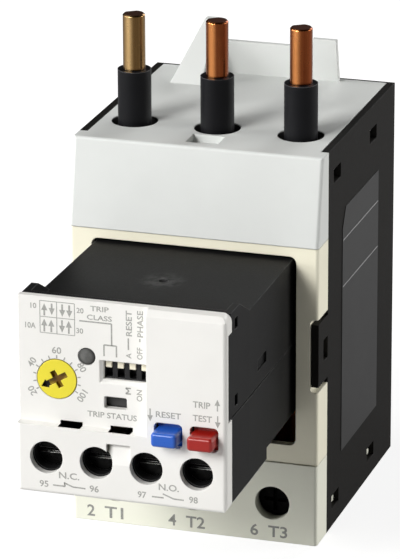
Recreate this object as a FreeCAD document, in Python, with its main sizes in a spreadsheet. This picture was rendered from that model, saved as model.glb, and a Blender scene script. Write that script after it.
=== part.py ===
import FreeCAD
import Part
import Sketcher
import math
import os

# Three-pole electronic overload relay with a plug-in control module, in millimetres.
# X runs across the poles, Y from the front to the back and Z upwards. Every piece is drawn with
# y = 0 on the front plane of the covers, and its Placement moves it into the middle of the depth.

DRIVING_SIZES = [
    # Housing
    ("pole_pitch", 18.5, "between neighbouring poles"),
    ("terminal_pitch", 17.6, "between neighbouring terminal screws"),
    ("pole_inset", 17.7, "pole axis behind the front plane"),
    ("depth", 62.5, "housing, front plane to back"),
    ("height", 86.0, "housing, bottom to lid"),
    ("panel_wall", 1.6, "side panel of the base"),
    ("back_wall", 2.2, "back of the base"),
    ("cover_wall", 2.0, "walls of the three covers"),
    ("seam_gap", 0.15, "between neighbouring covers and shells"),
    ("seat_gap", 0.1, "between a piece and its seat"),
    ("return_depth", 7.8, "how far the covers reach round the corners"),
    ("hood_seam", 67.0, "height of the seam under the hood"),
    ("sill_seam", 18.3, "height of the seam over the terminal cover"),
    ("hood_lean", 3.6, "how far the hood's front leans back"),
    ("front_recess", 0.3, "front cover behind the hood and the terminal cover"),
    ("edge_radius", 0.7, "rounded vertical edges of the covers"),
    ("rear_radius", 1.9, "rounded rear edges of the base"),
    ("overshoot", 1.0, "how far cuts run past a face"),
    ("bond", 0.4, "how far joined forms reach into each other"),
    # Snap windows in the side panels, with the covers' tongues and lugs
    ("snap_length", 5.6, "window along the depth"),
    ("snap_height", 3.2, "window height"),
    ("snap_front", 11.5, "front window behind the front plane"),
    ("snap_rear", 40.2, "rear window behind the front plane"),
    ("snap_drop", 8.1, "foot of the upper windows under the lid"),
    ("snap_rise", 3.9, "foot of the lower windows over the bottom"),
    ("snap_gap", 0.25, "lug in its window"),
    ("tongue_wall", 1.4, "tongue that carries the lugs"),
    ("tongue_run", 1.0, "tongue beyond its lug"),
    ("lug_reach", 0.7, "lug out of its tongue"),
    # Tabs of the base that hold the front cover
    ("tab_low", 36.0, "foot of the tab"),
    ("tab_height", 14.0, "tab height"),
    ("tab_front", 0.7, "tab behind the front plane"),
    ("tab_room", 1.2, "notch above and below the tab"),
    ("tab_slot_low", 4.6, "slot over the tab's foot"),
    ("tab_slot_height", 4.8, "slot height"),
    ("tab_slot_inset", 3.7, "slot behind the tab's front"),
    ("tab_slot_width", 3.3, "slot along the depth"),
    ("tab_backing", 1.8, "cover wall behind the tab"),
    # Lid
    ("pin_hole_diameter", 10.0, "pin holes in the lid"),
    ("catch_width", 7.0, "catch recess in the lid"),
    ("catch_front", 6.3, "recess behind the front plane"),
    ("catch_length", 5.7, "recess along the depth"),
    ("catch_depth", 1.6, "recess under the lid's face"),
    ("hook_wall", 1.2, "upright plates of the contactor hook"),
    ("hook_inset", 1.2, "plates before the lid's back edge"),
    ("hook_wall_rise", 7.4, "wall over the lid"),
    ("horn_left", 3.2, "inner side of the hook's horn"),
    ("horn_width", 12.3, "horn at its foot"),
    ("horn_taper", 0.6, "slant of the horn's outer side"),
    ("horn_rise", 9.4, "horn over the lid"),
    ("horn_crest", 5.4, "highest part of the horn"),
    ("wing_reach", 19.9, "outer foot of the hook's wing from the middle"),
    ("wing_width", 7.1, "wing at its foot"),
    ("wing_taper", 4.5, "slant of the wing's outer side"),
    ("wing_depth", 13.6, "wing along the depth"),
    ("wing_crest", 2.2, "wing at its top"),
    ("wing_rise", 11.9, "wing over the lid"),
    # Conductors, sleeves and current transformers
    ("pin_diameter", 4.8, "bare end of the line pin"),
    ("bar_diameter", 4.2, "line pin inside its sleeve"),
    ("pin_shoulder", 0.1, "foot of the bare end over its sleeve"),
    ("pin_edge", 0.3, "bevel round the pin's end"),
    ("pin_rise", 23.8, "pin over the lid"),
    ("pin_flat", 1.75, "flat of the pin's end from its axis"),
    ("pin_turn", 35.0, "turn of the flat in degrees"),
    ("pin_fit", 0.05, "pin in its sleeve and in the shelf"),
    ("sleeve_diameter", 7.2, "insulating sleeve"),
    ("sleeve_rise", 11.6, "sleeve over the lid"),
    ("blade_width", 8.0, "terminal blade"),
    ("blade_thick", 2.5, "terminal blade"),
    ("shelf_low", 31.0, "underside of the transformer shelf"),
    ("shelf_wall", 2.0, "transformer shelf"),
    ("barrier_wall", 1.6, "wall between two poles"),
    ("barrier_rise", 29.0, "barrier over the shelf"),
    ("ct_room", 0.4, "current transformer beside the side panel"),
    ("ct_bore", 7.2, "opening of the transformer"),
    ("ct_height", 14.0, "transformer height"),
    ("ct_lip", 1.6, "winding over the ends of the core"),
    ("core_wall", 2.0, "ring core"),
    # Load terminals
    ("terminal_axis", 8.8, "screw axis over the bottom"),
    ("access_diameter", 7.65, "screw access hole"),
    ("access_wall", 1.2, "collar round the access hole"),
    ("floor_wall", 2.0, "floor of the terminal cover"),
    ("head_diameter", 7.0, "screw head"),
    ("head_height", 3.0, "screw head"),
    ("head_gap", 0.4, "screw head behind the cover's wall and before the cage"),
    ("shank_diameter", 5.0, "screw shank"),
    ("thread_gap", 0.08, "shank in its nut wall"),
    ("drive_length", 5.0, "cross recess of a screw"),
    ("drive_width", 0.9, "cross recess of a screw"),
    ("drive_depth", 1.5, "cross recess of a screw"),
    ("cage_wall", 1.3, "side of the cage"),
    ("cage_nut", 2.5, "threaded front wall of the cage"),
    ("cage_back", 2.0, "back wall of the cage"),
    ("cage_height", 10.4, "cage height"),
    ("cage_travel", 5.2, "travel of the cage"),
    ("blade_room", 0.3, "cage beside the blade"),
    ("slide_gap", 0.25, "cage beside the housing"),
    ("wire_space", 8.2, "open cage behind the blade"),
    ("blade_end", 1.4, "blade over the floor"),
    # Control module
    ("module_reach", 48.5, "fascia before the front plane"),
    ("module_entry", 8.0, "module behind the front plane"),
    ("module_margin", 5.3, "housing beside the module"),
    ("module_rise", 8.5, "module's foot over the lower seam"),
    ("module_wall", 1.5, "module shells"),
    ("module_step", 2.5, "step under the module"),
    ("module_step_inset", 19.0, "step before the front plane"),
    ("window_room", 0.45, "window beside the module"),
    ("window_over", 0.7, "window over the module"),
    ("window_head", 2.15, "cover above the window"),
    ("window_foot", 4.1, "cover below the window"),
    ("window_radius", 1.5, "window corners"),
    ("tab_corner", 1.0, "rounded corners of the tab's notch"),
    ("flange_rise", 3.65, "upright flange over the module's top"),
    ("gusset_level", 6.0, "level run of the gussets"),
    ("gusset_run", 6.8, "slanting run of the gussets"),
    ("latch_length", 6.6, "latch recess in the module's sides"),
    ("latch_height", 2.5, "latch recess"),
    ("latch_front", 26.0, "latch recess before the front plane"),
    ("latch_rise", 3.55, "latch recess over the module's seam"),
    ("latch_depth", 0.7, "latch recess"),
    ("clip_length", 2.1, "clip windows in the module's sides"),
    ("clip_height", 2.4, "clip windows"),
    ("clip_front", 42.2, "clip windows before the front plane"),
    ("clip_depth", 1.0, "clip windows"),
    ("clip_low", 1.9, "lower clip windows over the module's seam"),
    ("clip_high", 18.4, "upper clip windows over the module's seam"),
    ("ear_reach", 2.4, "ear of the upper shell over the fascia's side"),
    ("ear_height", 18.4, "ear of the upper shell"),
    ("ear_wall", 1.0, "ear of the upper shell"),
    ("groove_height", 0.3, "groove along the module's seam"),
    ("groove_depth", 0.3, "groove along the module's seam"),
    ("draft_front", 32.0, "start of the sides' taper before the front plane"),
    ("draft", 0.6, "taper of the module's sides at its rear end"),
    ("dimple_diameter", 2.0, "gate mark in the module's top"),
    ("dimple_depth", 0.4, "gate mark in the module's top"),
    ("dimple_front", 20.0, "gate mark before the front plane"),
    # Fascia
    ("fascia_depth", 3.75, "fascia, front to back"),
    ("fascia_wall", 1.6, "fascia wall"),
    ("fascia_overlap", 0.2, "fascia beside the module shells"),
    ("fascia_drop", 0.8, "fascia below the module's foot"),
    ("fascia_radius", 0.8, "front edges of the fascia"),
    ("panel_recess", 2.3, "setting panel behind the fascia's front"),
    ("panel_width", 27.7, "setting panel from the module's left side"),
    ("panel_side", 1.0, "wall beside the setting panel"),
    ("ledge_drop", 4.25, "foot of the setting panel below the module's seam"),
    ("ledge_wall", 0.8, "ledge under the setting panel"),
    ("brow_bevel", 1.2, "bevel over the raised panel"),
    ("brow_corner", 1.8, "upper right corner of the fascia"),
    ("foot_corner", 1.3, "lower corners of the fascia"),
    ("ledge_slot_width", 4.6, "slots in the ledge"),
    ("ledge_slot_rise", 0.7, "slots over the ledge"),
    ("ledge_slot_drop", 2.5, "slots below the ledge"),
    ("ledge_slot_lip", 0.4, "fascia before the slots"),
    ("ledge_slot_inset", 10.9, "left slot from the module's left side"),
    ("ledge_slot_pitch", 10.75, "between the two slots"),
    ("notch_width", 5.1, "scoop between the holes"),
    ("notch_height", 4.4, "scoop between the holes"),
    ("notch_depth", 1.3, "scoop at its deep upper end"),
    ("notch_centre", -0.55, "scoop from the middle"),
    ("notch_rise", 4.45, "upper end of the scoop over the hole axis"),
    # Dial, lamp, switch and status window
    ("dial_inset", 7.9, "dial axis from the module's left side"),
    ("dial_rise", 5.35, "dial over the module's seam"),
    ("dial_diameter", 8.4, "dial face"),
    ("dial_gap", 0.15, "dial in its hole"),
    ("dial_proud", 0.1, "dial before the setting panel"),
    ("dial_collar", 0.7, "retaining collar over the dial's radius"),
    ("dial_collar_wall", 0.8, "retaining collar"),
    ("dial_turn", 210.0, "direction of the dial's arrow at rest, in degrees"),
    ("dial_slot_tail", 2.4, "dial slot opposite its arrow"),
    ("dial_slot_arm", 1.9, "cross arms of the dial slot"),
    ("dial_slot_width", 1.2, "dial slot"),
    ("dial_arrow_foot", 2.3, "arrowhead from the dial's axis"),
    ("dial_arrow_tip", 3.85, "arrow from the dial's axis"),
    ("dial_arrow_width", 2.0, "arrowhead"),
    ("dial_slot_depth", 1.0, "dial slot"),
    ("shaft_diameter", 3.0, "dial shaft"),
    ("shaft_gap", 0.08, "dial shaft in the potentiometer"),
    ("shaft_length", 2.6, "dial shaft"),
    ("pot_width", 8.8, "potentiometer"),
    ("pot_height", 8.0, "potentiometer"),
    ("led_inset", 14.35, "lamp from the module's left side"),
    ("led_rise", 10.9, "lamp over the module's seam"),
    ("led_diameter", 3.5, "lamp lens"),
    ("led_gap", 0.12, "lamp in its hole"),
    ("led_proud", 0.3, "lamp before the setting panel"),
    ("led_collar", 0.35, "lamp collar over its radius"),
    ("dip_inset", 22.4, "switch from the module's left side"),
    ("dip_rise", 8.35, "switch over the module's seam"),
    ("dip_pitch", 2.54, "between switch sliders"),
    ("dip_body_width", 11.6, "switch body"),
    ("dip_body_height", 5.4, "switch body"),
    ("dip_opening_inset", 17.7, "switch opening from the module's left side"),
    ("dip_opening_height", 4.2, "switch opening"),
    ("dip_bevel", 0.7, "bevel of the switch opening"),
    ("dip_slot_width", 1.5, "slider slot"),
    ("dip_slot_height", 3.7, "slider slot"),
    ("dip_slot_depth", 2.0, "slider slot"),
    ("slider_gap", 0.1, "slider in its slot"),
    ("slider_height", 1.5, "slider"),
    ("slider_proud", 0.3, "slider before the switch body"),
    ("flag_inset", 20.4, "status window from the module's left side"),
    ("flag_rise", 1.45, "status window over the module's seam"),
    ("flag_window_width", 4.85, "status window"),
    ("flag_window_height", 2.6, "status window"),
    ("flag_window_radius", 0.4, "status window corners"),
    ("flag_margin", 0.5, "flag round its window"),
    ("flag_wall", 0.8, "flag"),
    ("flag_gap", 0.4, "flag behind the fascia"),
    # Levers
    ("reset_inset", 12.1, "reset lever from the module's right side"),
    ("trip_inset", 4.5, "trip lever from the module's right side"),
    ("lever_drop", 3.35, "lever axis below the module's seam"),
    ("lever_width", 5.4, "lever"),
    ("lever_height", 3.0, "lever"),
    ("lever_proud", 3.5, "lever before the fascia"),
    ("lever_radius", 0.7, "lever edges"),
    ("lever_gap", 0.3, "lever beside its opening"),
    ("lever_opening_height", 5.2, "lever opening"),
    ("lever_opening_radius", 1.0, "lever opening corners"),
    ("lever_flange", 1.2, "flange behind the fascia"),
    ("lever_flange_up", 4.0, "flange above the lever axis"),
    ("lever_flange_down", 2.9, "flange below the lever axis"),
    ("stem_width", 3.6, "lever stem"),
    ("stem_height", 2.0, "lever stem"),
    ("stem_end", 17.5, "lever stem behind the fascia's front"),
    ("trip_stem_shift", 0.7, "trip lever's stem beside its axis"),
    ("stem_room", 0.3, "stem beside its notch"),
    ("stem_drop", 1.7, "notch below the stem"),
    ("bracket_wall", 1.2, "lever bracket of the lower shell"),
    ("bracket_inset", 4.1, "lever bracket behind the fascia's front"),
    # Auxiliary terminals
    ("aux_side_room", 1.15, "shell beside the outer cage"),
    ("aux_access", 7.0, "auxiliary access hole"),
    ("aux_block_inset", 1.9, "terminal block behind the fascia's front"),
    ("aux_block_end", 6.4, "terminal block behind the fascia's front"),
    ("aux_block_room", 0.4, "terminal block inside the fascia"),
    ("aux_block_head", 0.25, "terminal block over the access hole"),
    ("aux_block_step", 0.25, "terminal block's hole inside the fascia's"),
    ("aux_head_diameter", 6.2, "auxiliary screw head"),
    ("aux_head_inset", 4.3, "screw head behind the fascia's front"),
    ("aux_head_height", 2.2, "auxiliary screw head"),
    ("aux_head_gap", 0.3, "auxiliary screw head before the cage"),
    ("aux_shank_diameter", 3.4, "auxiliary screw shank"),
    ("aux_slot_width", 0.9, "screwdriver slot"),
    ("aux_slot_depth", 0.9, "screwdriver slot"),
    ("aux_nut", 1.4, "threaded front wall of the cage"),
    ("aux_back", 1.0, "back wall of the cage"),
    ("aux_side", 0.8, "side of the cage"),
    ("aux_cage_height", 7.2, "cage height"),
    ("aux_cage_foot", 2.05, "cage over the module's floor"),
    ("aux_travel", 2.3, "travel of the cage"),
    ("aux_blade_width", 5.0, "contact strip"),
    ("aux_blade_room", 0.2, "cage beside the contact strip"),
    ("aux_blade_wall", 1.0, "upright leg of the contact strip"),
    ("aux_blade_gap", 2.9, "nut wall before the contact strip"),
    ("aux_wire_space", 3.2, "open cage behind the contact strip"),
    ("divider_wall", 1.2, "wall between auxiliary terminals"),
    ("divider_end", 20.0, "dividers behind the fascia's front"),
    ("divider_clear", 0.7, "dividers below the contact strips"),
    # Trip mechanism
    ("strip_clear", 1.3, "contact strips over the cages"),
    ("strip_wall", 0.8, "contact strips and bridges"),
    ("strip_end", 25.0, "contact strips behind the fascia's front"),
    ("contact_half_gap", 1.2, "strip tips from the middle of their bridge"),
    ("nc_step", 0.6, "opening contact over the closing one"),
    ("contact_gap", 0.05, "between closed contacts"),
    ("trip_travel", 2.5, "travel of the carriage"),
    ("carriage_front", 21.5, "cross bar behind the fascia's front"),
    ("carriage_depth", 4.0, "cross bar along the depth"),
    ("carriage_wall", 1.6, "cross bar height"),
    ("carriage_gap", 0.2, "cross bar beside its guides"),
    ("carriage_clear", 0.25, "cross bar over the strips when tripped"),
    ("carriage_head", 0.45, "seam over the cross bar"),
    ("guide_wall", 1.4, "guide ribs of the cross bar"),
    ("guide_reach", 1.9, "guide ribs out of the side wall"),
    ("post_width", 1.6, "post of the opening bridge"),
    ("bridge_width", 6.0, "contact bridge"),
    ("bridge_inset", 0.7, "bridge inside the cross bar's depth"),
    ("arm_shift", 0.4, "left side of the flag's arm from the flag's axis"),
    ("arm_width", 2.2, "flag arm"),
    ("arm_height", 2.0, "flag arm"),
    ("arm_drop", 0.4, "flag arm below the cross bar's top"),
    ("plunger_diameter", 4.0, "plunger"),
    ("plunger_length", 12.4, "plunger over the cross bar"),
    ("coil_gap", 0.4, "coil round the plunger"),
    ("coil_diameter", 13.6, "coil"),
    ("yoke_wall", 1.2, "yoke"),
    ("yoke_room", 0.6, "yoke beside the coil"),
    ("yoke_depth", 10.0, "yoke along the depth"),
    ("spring_wall", 0.35, "leaf springs"),
    ("spring_width", 1.6, "leaf springs"),
    ("spring_length", 5.0, "leaf springs"),
    ("spring_front", 10.5, "leaf springs behind the fascia's front"),
    ("spring_ledge", 0.5, "ledge under the trip spring"),
    # Boards
    ("board_wall", 1.6, "circuit boards"),
    ("board_inset", 8.5, "control board behind the fascia's front"),
    ("board_room", 0.3, "boards inside their shells"),
    ("board_foot", 0.8, "control board over the module's seam"),
    ("sensor_inset", 1.0, "sensor board behind the module"),
    ("sensor_height", 27.0, "sensor board over the shelf"),
    ("barrier_inset", 0.4, "barriers behind the sensor board"),
    ("connector_width", 16.0, "connector"),
    ("connector_height", 7.0, "connector"),
    ("connector_rise", 2.0, "connector over the module's seam"),
    ("connector_depth", 5.0, "connector inside the module"),
]


class Size:
    """A length that knows its value and the spreadsheet formula that it is bound to."""

    def __init__(self, value, formula):
        self.value = value
        self.formula = formula

    def __add__(self, other):
        return Size(self.value + number(other), "(%s + %s)" % (self.formula, formula(other)))

    def __radd__(self, other):
        return Size(number(other) + self.value, "(%s + %s)" % (formula(other), self.formula))

    def __sub__(self, other):
        return Size(self.value - number(other), "(%s - %s)" % (self.formula, formula(other)))

    def __rsub__(self, other):
        return Size(number(other) - self.value, "(%s - %s)" % (formula(other), self.formula))

    def __mul__(self, other):
        return Size(self.value * number(other), "(%s * %s)" % (self.formula, formula(other)))

    def __rmul__(self, other):
        return self * other

    def __truediv__(self, other):
        return Size(self.value / number(other), "(%s / %s)" % (self.formula, formula(other)))

    def __neg__(self):
        return Size(-self.value, "(-1 * %s)" % self.formula)

    def cosine(self):
        return Size(math.cos(math.radians(self.value)), "cos(%s * 1 deg)" % self.formula)

    def sine(self):
        return Size(math.sin(math.radians(self.value)), "sin(%s * 1 deg)" % self.formula)


def number(size):
    return size.value if isinstance(size, Size) else float(size)


def formula(size):
    return size.formula if isinstance(size, Size) else "(%r)" % float(size)


def bind(thing, name, size):
    """Bind a property or a constraint of a document object to a size's formula."""
    if isinstance(size, Size):
        thing.setExpression(name, size.formula)


class Sizes:
    """The driving sizes, kept in the document's spreadsheet and read back from it."""

    def __init__(self, sheet):
        for row, (alias, value, note) in enumerate(DRIVING_SIZES, 1):
            sheet.set("A%d" % row, note)
            sheet.set("B%d" % row, str(value))
            sheet.setAlias("B%d" % row, alias)
        sheet.recompute()
        for alias, _, _ in DRIVING_SIZES:
            setattr(self, alias, Size(float(sheet.get(alias)), "dims.%s" % alias))


doc = FreeCAD.newDocument("overload_relay")
dim = Sizes(doc.addObject("Spreadsheet::Sheet", "dims"))
pieces = []


def rectangle(u_low, u_high, v_low, v_high):
    return Polygon([(u_low, v_low), (u_high, v_low), (u_high, v_high), (u_low, v_high)])


class Polygon:
    """A closed loop of straight lines with every corner bound to its formulas."""

    def __init__(self, points):
        self.points = points

    def draw(self, sketch):
        first = sketch.GeometryCount
        count = len(self.points)
        corners = [FreeCAD.Vector(number(u), number(v), 0) for u, v in self.points]
        lines = [Part.LineSegment(corners[i], corners[(i + 1) % count]) for i in range(count)]
        sketch.addGeometry(lines, False)
        for i in range(count):
            follower = first + (i + 1) % count
            sketch.addConstraint(Sketcher.Constraint("Coincident", first + i, 2, follower, 1))
        for i, (u, v) in enumerate(self.points):
            locate(sketch, first + i, 1, u, v)


class Circle:
    def __init__(self, u, v, radius):
        self.centre = (u, v)
        self.radius = radius

    def draw(self, sketch):
        index = sketch.GeometryCount
        centre = FreeCAD.Vector(number(self.centre[0]), number(self.centre[1]), 0)
        sketch.addGeometry(Part.Circle(centre, FreeCAD.Vector(0, 0, 1), number(self.radius)), False)
        locate(sketch, index, 3, *self.centre)
        radius = sketch.addConstraint(Sketcher.Constraint("Radius", index, number(self.radius)))
        bind(sketch, "Constraints[%d]" % radius, self.radius)


class RoundedRectangle:
    """A rectangle whose four corners are tangent arcs of one radius."""

    def __init__(self, u_low, u_high, v_low, v_high, radius):
        self.sides = (u_low, u_high, v_low, v_high)
        self.radius = radius

    def draw(self, sketch):
        first = sketch.GeometryCount
        u_low, u_high, v_low, v_high = [number(side) for side in self.sides]
        r = number(self.radius)
        corners = [(u_low, v_low), (u_high, v_low), (u_high, v_high), (u_low, v_high)]
        runs = [(1, 0), (0, 1), (-1, 0), (0, -1)]
        for i, (run_u, run_v) in enumerate(runs):
            start = corners[i]
            end = corners[(i + 1) % 4]
            line = Part.LineSegment(
                FreeCAD.Vector(start[0] + r * run_u, start[1] + r * run_v, 0),
                FreeCAD.Vector(end[0] - r * run_u, end[1] - r * run_v, 0))
            centre = FreeCAD.Vector(end[0] - r * (run_u + run_v), end[1] - r * (run_v - run_u), 0)
            circle = Part.Circle(centre, FreeCAD.Vector(0, 0, 1), r)
            begin = math.radians(90 * i - 90)
            sketch.addGeometry([line, Part.ArcOfCircle(circle, begin, begin + math.pi / 2)], False)
        for i in range(4):
            line, arc, following = first + 2 * i, first + 2 * i + 1, first + (2 * i + 2) % 8
            sketch.addConstraint(Sketcher.Constraint("Tangent", line, 2, arc, 1))
            sketch.addConstraint(Sketcher.Constraint("Tangent", arc, 2, following, 1))
            sketch.addConstraint(Sketcher.Constraint("Vertical" if i % 2 else "Horizontal", line))
            if i:
                sketch.addConstraint(Sketcher.Constraint("Equal", first + 1, arc))
        radius = sketch.addConstraint(Sketcher.Constraint("Radius", first + 1, r))
        bind(sketch, "Constraints[%d]" % radius, self.radius)
        for kind, line, side in zip(("DistanceX", "DistanceX", "DistanceY", "DistanceY"),
                                    (first + 6, first + 2, first, first + 4), self.sides):
            index = sketch.addConstraint(Sketcher.Constraint(kind, -1, 1, line, 1, number(side)))
            bind(sketch, "Constraints[%d]" % index, side)


def locate(sketch, geometry, point, u, v):
    """Give a point of a sketch its two distances from the origin."""
    for kind, size in (("DistanceX", u), ("DistanceY", v)):
        index = sketch.addConstraint(Sketcher.Constraint(kind, -1, 1, geometry, point, number(size)))
        bind(sketch, "Constraints[%d]" % index, size)


def cross(length, width):
    """A plus-shaped loop about the origin."""
    a, b = length / 2, width / 2
    points = [(a, -b), (a, b), (b, b), (b, a), (-b, a), (-b, b),
              (-a, b), (-a, -b), (-b, -b), (-b, -a), (b, -a), (b, -b)]
    return Polygon(points)


def turned(points, turn):
    c, s = turn.cosine(), turn.sine()
    return [(c * u - s * v, s * u + c * v) for u, v in points]


class Piece:
    """One sub-part: a PartDesign body built up from pads, pockets and revolutions."""

    planes = {"X": ("YZ_Plane", 1), "Y": ("XZ_Plane", -1), "Z": ("XY_Plane", 1)}

    def __init__(self, label, x=0, z=0, y=0):
        self.body = doc.addObject("PartDesign::Body", label)
        self.body.Label = label
        place = (number(x), number(front_plane + y), number(z))
        self.body.Placement = FreeCAD.Placement(FreeCAD.Vector(*place), FreeCAD.Rotation())
        for name, size in (("x", x), ("y", front_plane + y), ("z", z)):
            bind(self.body, "Placement.Base.%s" % name, size)
        pieces.append(self.body)

    def sketch(self, plane, offset, loops):
        support = [each for each in self.body.Origin.OriginFeatures if each.Role == plane][0]
        drawing = self.body.newObject("Sketcher::SketchObject", "outline")
        drawing.AttachmentSupport = [(support, "")]
        drawing.MapMode = "FlatFace"
        drawing.AttachmentOffset = FreeCAD.Placement(
            FreeCAD.Vector(0, 0, number(offset)), FreeCAD.Rotation())
        bind(drawing, "AttachmentOffset.Base.z", offset)
        for loop in loops:
            loop.draw(drawing)
        return drawing

    def extrude(self, kind, axis, low, high, loops):
        """Sweep loops along an axis from low to high; along Y the sketch lies on the far side."""
        plane, direction = self.planes[axis]
        offset = low if direction > 0 else -1 * high
        feature = self.body.newObject(kind, kind.split("::")[1].lower())
        feature.Profile = self.sketch(plane, offset, loops)
        feature.Length = number(high - low)
        bind(feature, "Length", high - low)
        return feature

    def pad(self, axis, low, high, *loops):
        self.extrude("PartDesign::Pad", axis, low, high, loops)
        return self

    def pocket(self, axis, low, high, *loops):
        self.extrude("PartDesign::Pocket", axis, low, high, loops).Reversed = True
        return self

    def revolve(self, axis, *loops):
        """Turn loops of (radius, height) about the body's own Y or Z axis."""
        plane = {"Y": "XY_Plane", "Z": "XZ_Plane"}[axis]
        drawing = self.sketch(plane, 0, loops)
        feature = self.body.newObject("PartDesign::Revolution", "revolution")
        feature.Profile = drawing
        feature.ReferenceAxis = (drawing, ["V_Axis"])
        feature.Angle = 360.0
        return self

    def edges(self, axis, *boxes):
        """Names of the straight edges nearly along an axis whose middles lie in one of the boxes."""
        doc.recompute()
        direction = {"X": 0, "Y": 1, "Z": 2}[axis]
        names = []
        for index, edge in enumerate(self.body.Tip.Shape.Edges, 1):
            if edge.Curve.TypeId != "Part::GeomLine":
                continue
            run = edge.tangentAt(edge.FirstParameter)
            if abs(run[direction]) < 0.97:
                continue
            middle = edge.CenterOfMass
            for box in boxes:
                if all(number(low) - 0.01 < middle[k] < number(high) + 0.01
                       for k, (low, high) in enumerate(box)):
                    names.append("Edge%d" % index)
                    break
        return names

    def dress(self, kind, size, names):
        base = self.body.Tip
        feature = self.body.newObject("PartDesign::%s" % kind, kind.lower())
        feature.Base = (base, names)
        name = "Radius" if kind == "Fillet" else "Size"
        setattr(feature, name, number(size))
        bind(feature, name, size)
        return self

    def fillet(self, radius, names):
        return self.dress("Fillet", radius, names)

    def chamfer(self, size, names):
        return self.dress("Chamfer", size, names)


def both_sides(low, high, v_low, v_high):
    """The same rectangle at the right and, mirrored, at the left."""
    return [rectangle(low, high, v_low, v_high), rectangle(-high, -low, v_low, v_high)]


# Places that several pieces share
nose = dim.module_reach + dim.lever_proud
front_plane = (nose - dim.depth) / 2
poles = [-dim.pole_pitch, 0 * dim.pole_pitch, dim.pole_pitch]
terminals = [-dim.terminal_pitch, 0 * dim.terminal_pitch, dim.terminal_pitch]

cage_inner = dim.blade_width / 2 + dim.blade_room
cage_half = cage_inner + dim.cage_wall
half = dim.pole_pitch + cage_half + dim.slide_gap + dim.tongue_wall + dim.seam_gap + dim.panel_wall
inner = half - dim.panel_wall
lid_half = inner - dim.seam_gap
inner_back = dim.depth - dim.back_wall
lid_back = inner_back - dim.seam_gap
return_end = dim.return_depth - dim.seam_gap
cover_inner = half - dim.cover_wall
hood_low = dim.hood_seam + dim.seam_gap / 2
cream_top = dim.hood_seam - dim.seam_gap / 2
cream_low = dim.sill_seam + dim.seam_gap / 2
sill_top = dim.sill_seam - dim.seam_gap / 2
shelf_top = dim.shelf_low + dim.shelf_wall
ct_low = shelf_top + dim.seat_gap
ct_top = ct_low + dim.ct_height
pin_radius = dim.pin_diameter / 2
bar_radius = dim.bar_diameter / 2
snap_upper = dim.height - dim.snap_drop
snap_starts = [dim.snap_front, dim.snap_rear]
tab_high = dim.tab_low + dim.tab_height
tab_slot_front = dim.tab_front + dim.tab_slot_inset
tab_slot_back = tab_slot_front + dim.tab_slot_width
tab_slot_foot = dim.tab_low + dim.tab_slot_low
tab_slot_head = tab_slot_foot + dim.tab_slot_height

blade_front = dim.pole_inset - dim.blade_thick / 2
blade_back = dim.pole_inset + dim.blade_thick / 2
head_front = dim.cover_wall + dim.head_gap
head_back = head_front + dim.head_height
cage_front = head_back + dim.cage_travel + dim.head_gap
cage_rear_inner = blade_back + dim.wire_space
cage_rear = cage_rear_inner + dim.cage_back

fascia_front = -dim.module_reach
fascia_back = fascia_front + dim.fascia_depth
panel_front = fascia_front + dim.panel_recess
shell_front = fascia_back + dim.seam_gap
module_half = half - dim.module_margin
module_inner = module_half - dim.module_wall
fascia_half = module_half + dim.fascia_overlap
fascia_inner = fascia_half - dim.fascia_wall
window_half = module_half + dim.window_room
window_top = dim.hood_seam - dim.window_head
window_low = dim.sill_seam + dim.window_foot
module_low = dim.sill_seam + dim.module_rise
module_top = window_top - dim.window_over
module_floor = module_low + dim.module_wall
step_low = module_low + dim.module_step
step_front = -dim.module_step_inset

aux_cage_inner = dim.aux_blade_width / 2 + dim.aux_blade_room
aux_cage_half = aux_cage_inner + dim.aux_side
aux_outer = module_inner - dim.aux_side_room - aux_cage_half
aux_pitch = aux_outer / 1.5
aux_places = [-aux_outer, -aux_pitch / 2, aux_pitch / 2, aux_outer]
aux_axis = module_floor + dim.aux_cage_foot + dim.aux_cage_height / 2
aux_cage_top = aux_axis + dim.aux_cage_height / 2
aux_radius = dim.aux_access / 2
aux_head_front = fascia_front + dim.aux_head_inset
aux_head_back = aux_head_front + dim.aux_head_height
aux_cage_front = aux_head_back + dim.aux_travel + dim.aux_head_gap
aux_blade_front = aux_cage_front + dim.aux_nut + dim.aux_blade_gap
aux_blade_back = aux_blade_front + dim.aux_blade_wall
aux_rear_inner = aux_blade_back + dim.aux_wire_space
aux_cage_rear = aux_rear_inner + dim.aux_back
aux_block_front = fascia_front + dim.aux_block_inset
aux_block_back = fascia_front + dim.aux_block_end
aux_block_top = aux_axis + aux_radius + dim.aux_block_head

strip_low = aux_cage_top + dim.strip_clear
no_top = strip_low + dim.strip_wall
nc_low = strip_low + dim.nc_step
nc_top = nc_low + dim.strip_wall
strip_back = fascia_front + dim.strip_end
divider_top = strip_low - dim.divider_clear
bar_low = nc_top + dim.trip_travel + dim.carriage_clear
bar_top = bar_low + dim.carriage_wall
bar_front = fascia_front + dim.carriage_front
bar_back = bar_front + dim.carriage_depth
bar_half = module_inner - dim.carriage_gap
bar_middle = bar_front + dim.carriage_depth / 2
seam = bar_top + dim.carriage_head
upper_low = seam + dim.seam_gap
upper_ceiling = module_top - dim.module_wall
flange_top = module_top + dim.flange_rise
fascia_top = flange_top + dim.seat_gap
fascia_low = module_low - dim.fascia_drop
ledge = seam - dim.ledge_drop
ear_low = upper_low + dim.seat_gap
ear_top = ear_low + dim.ear_height

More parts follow.
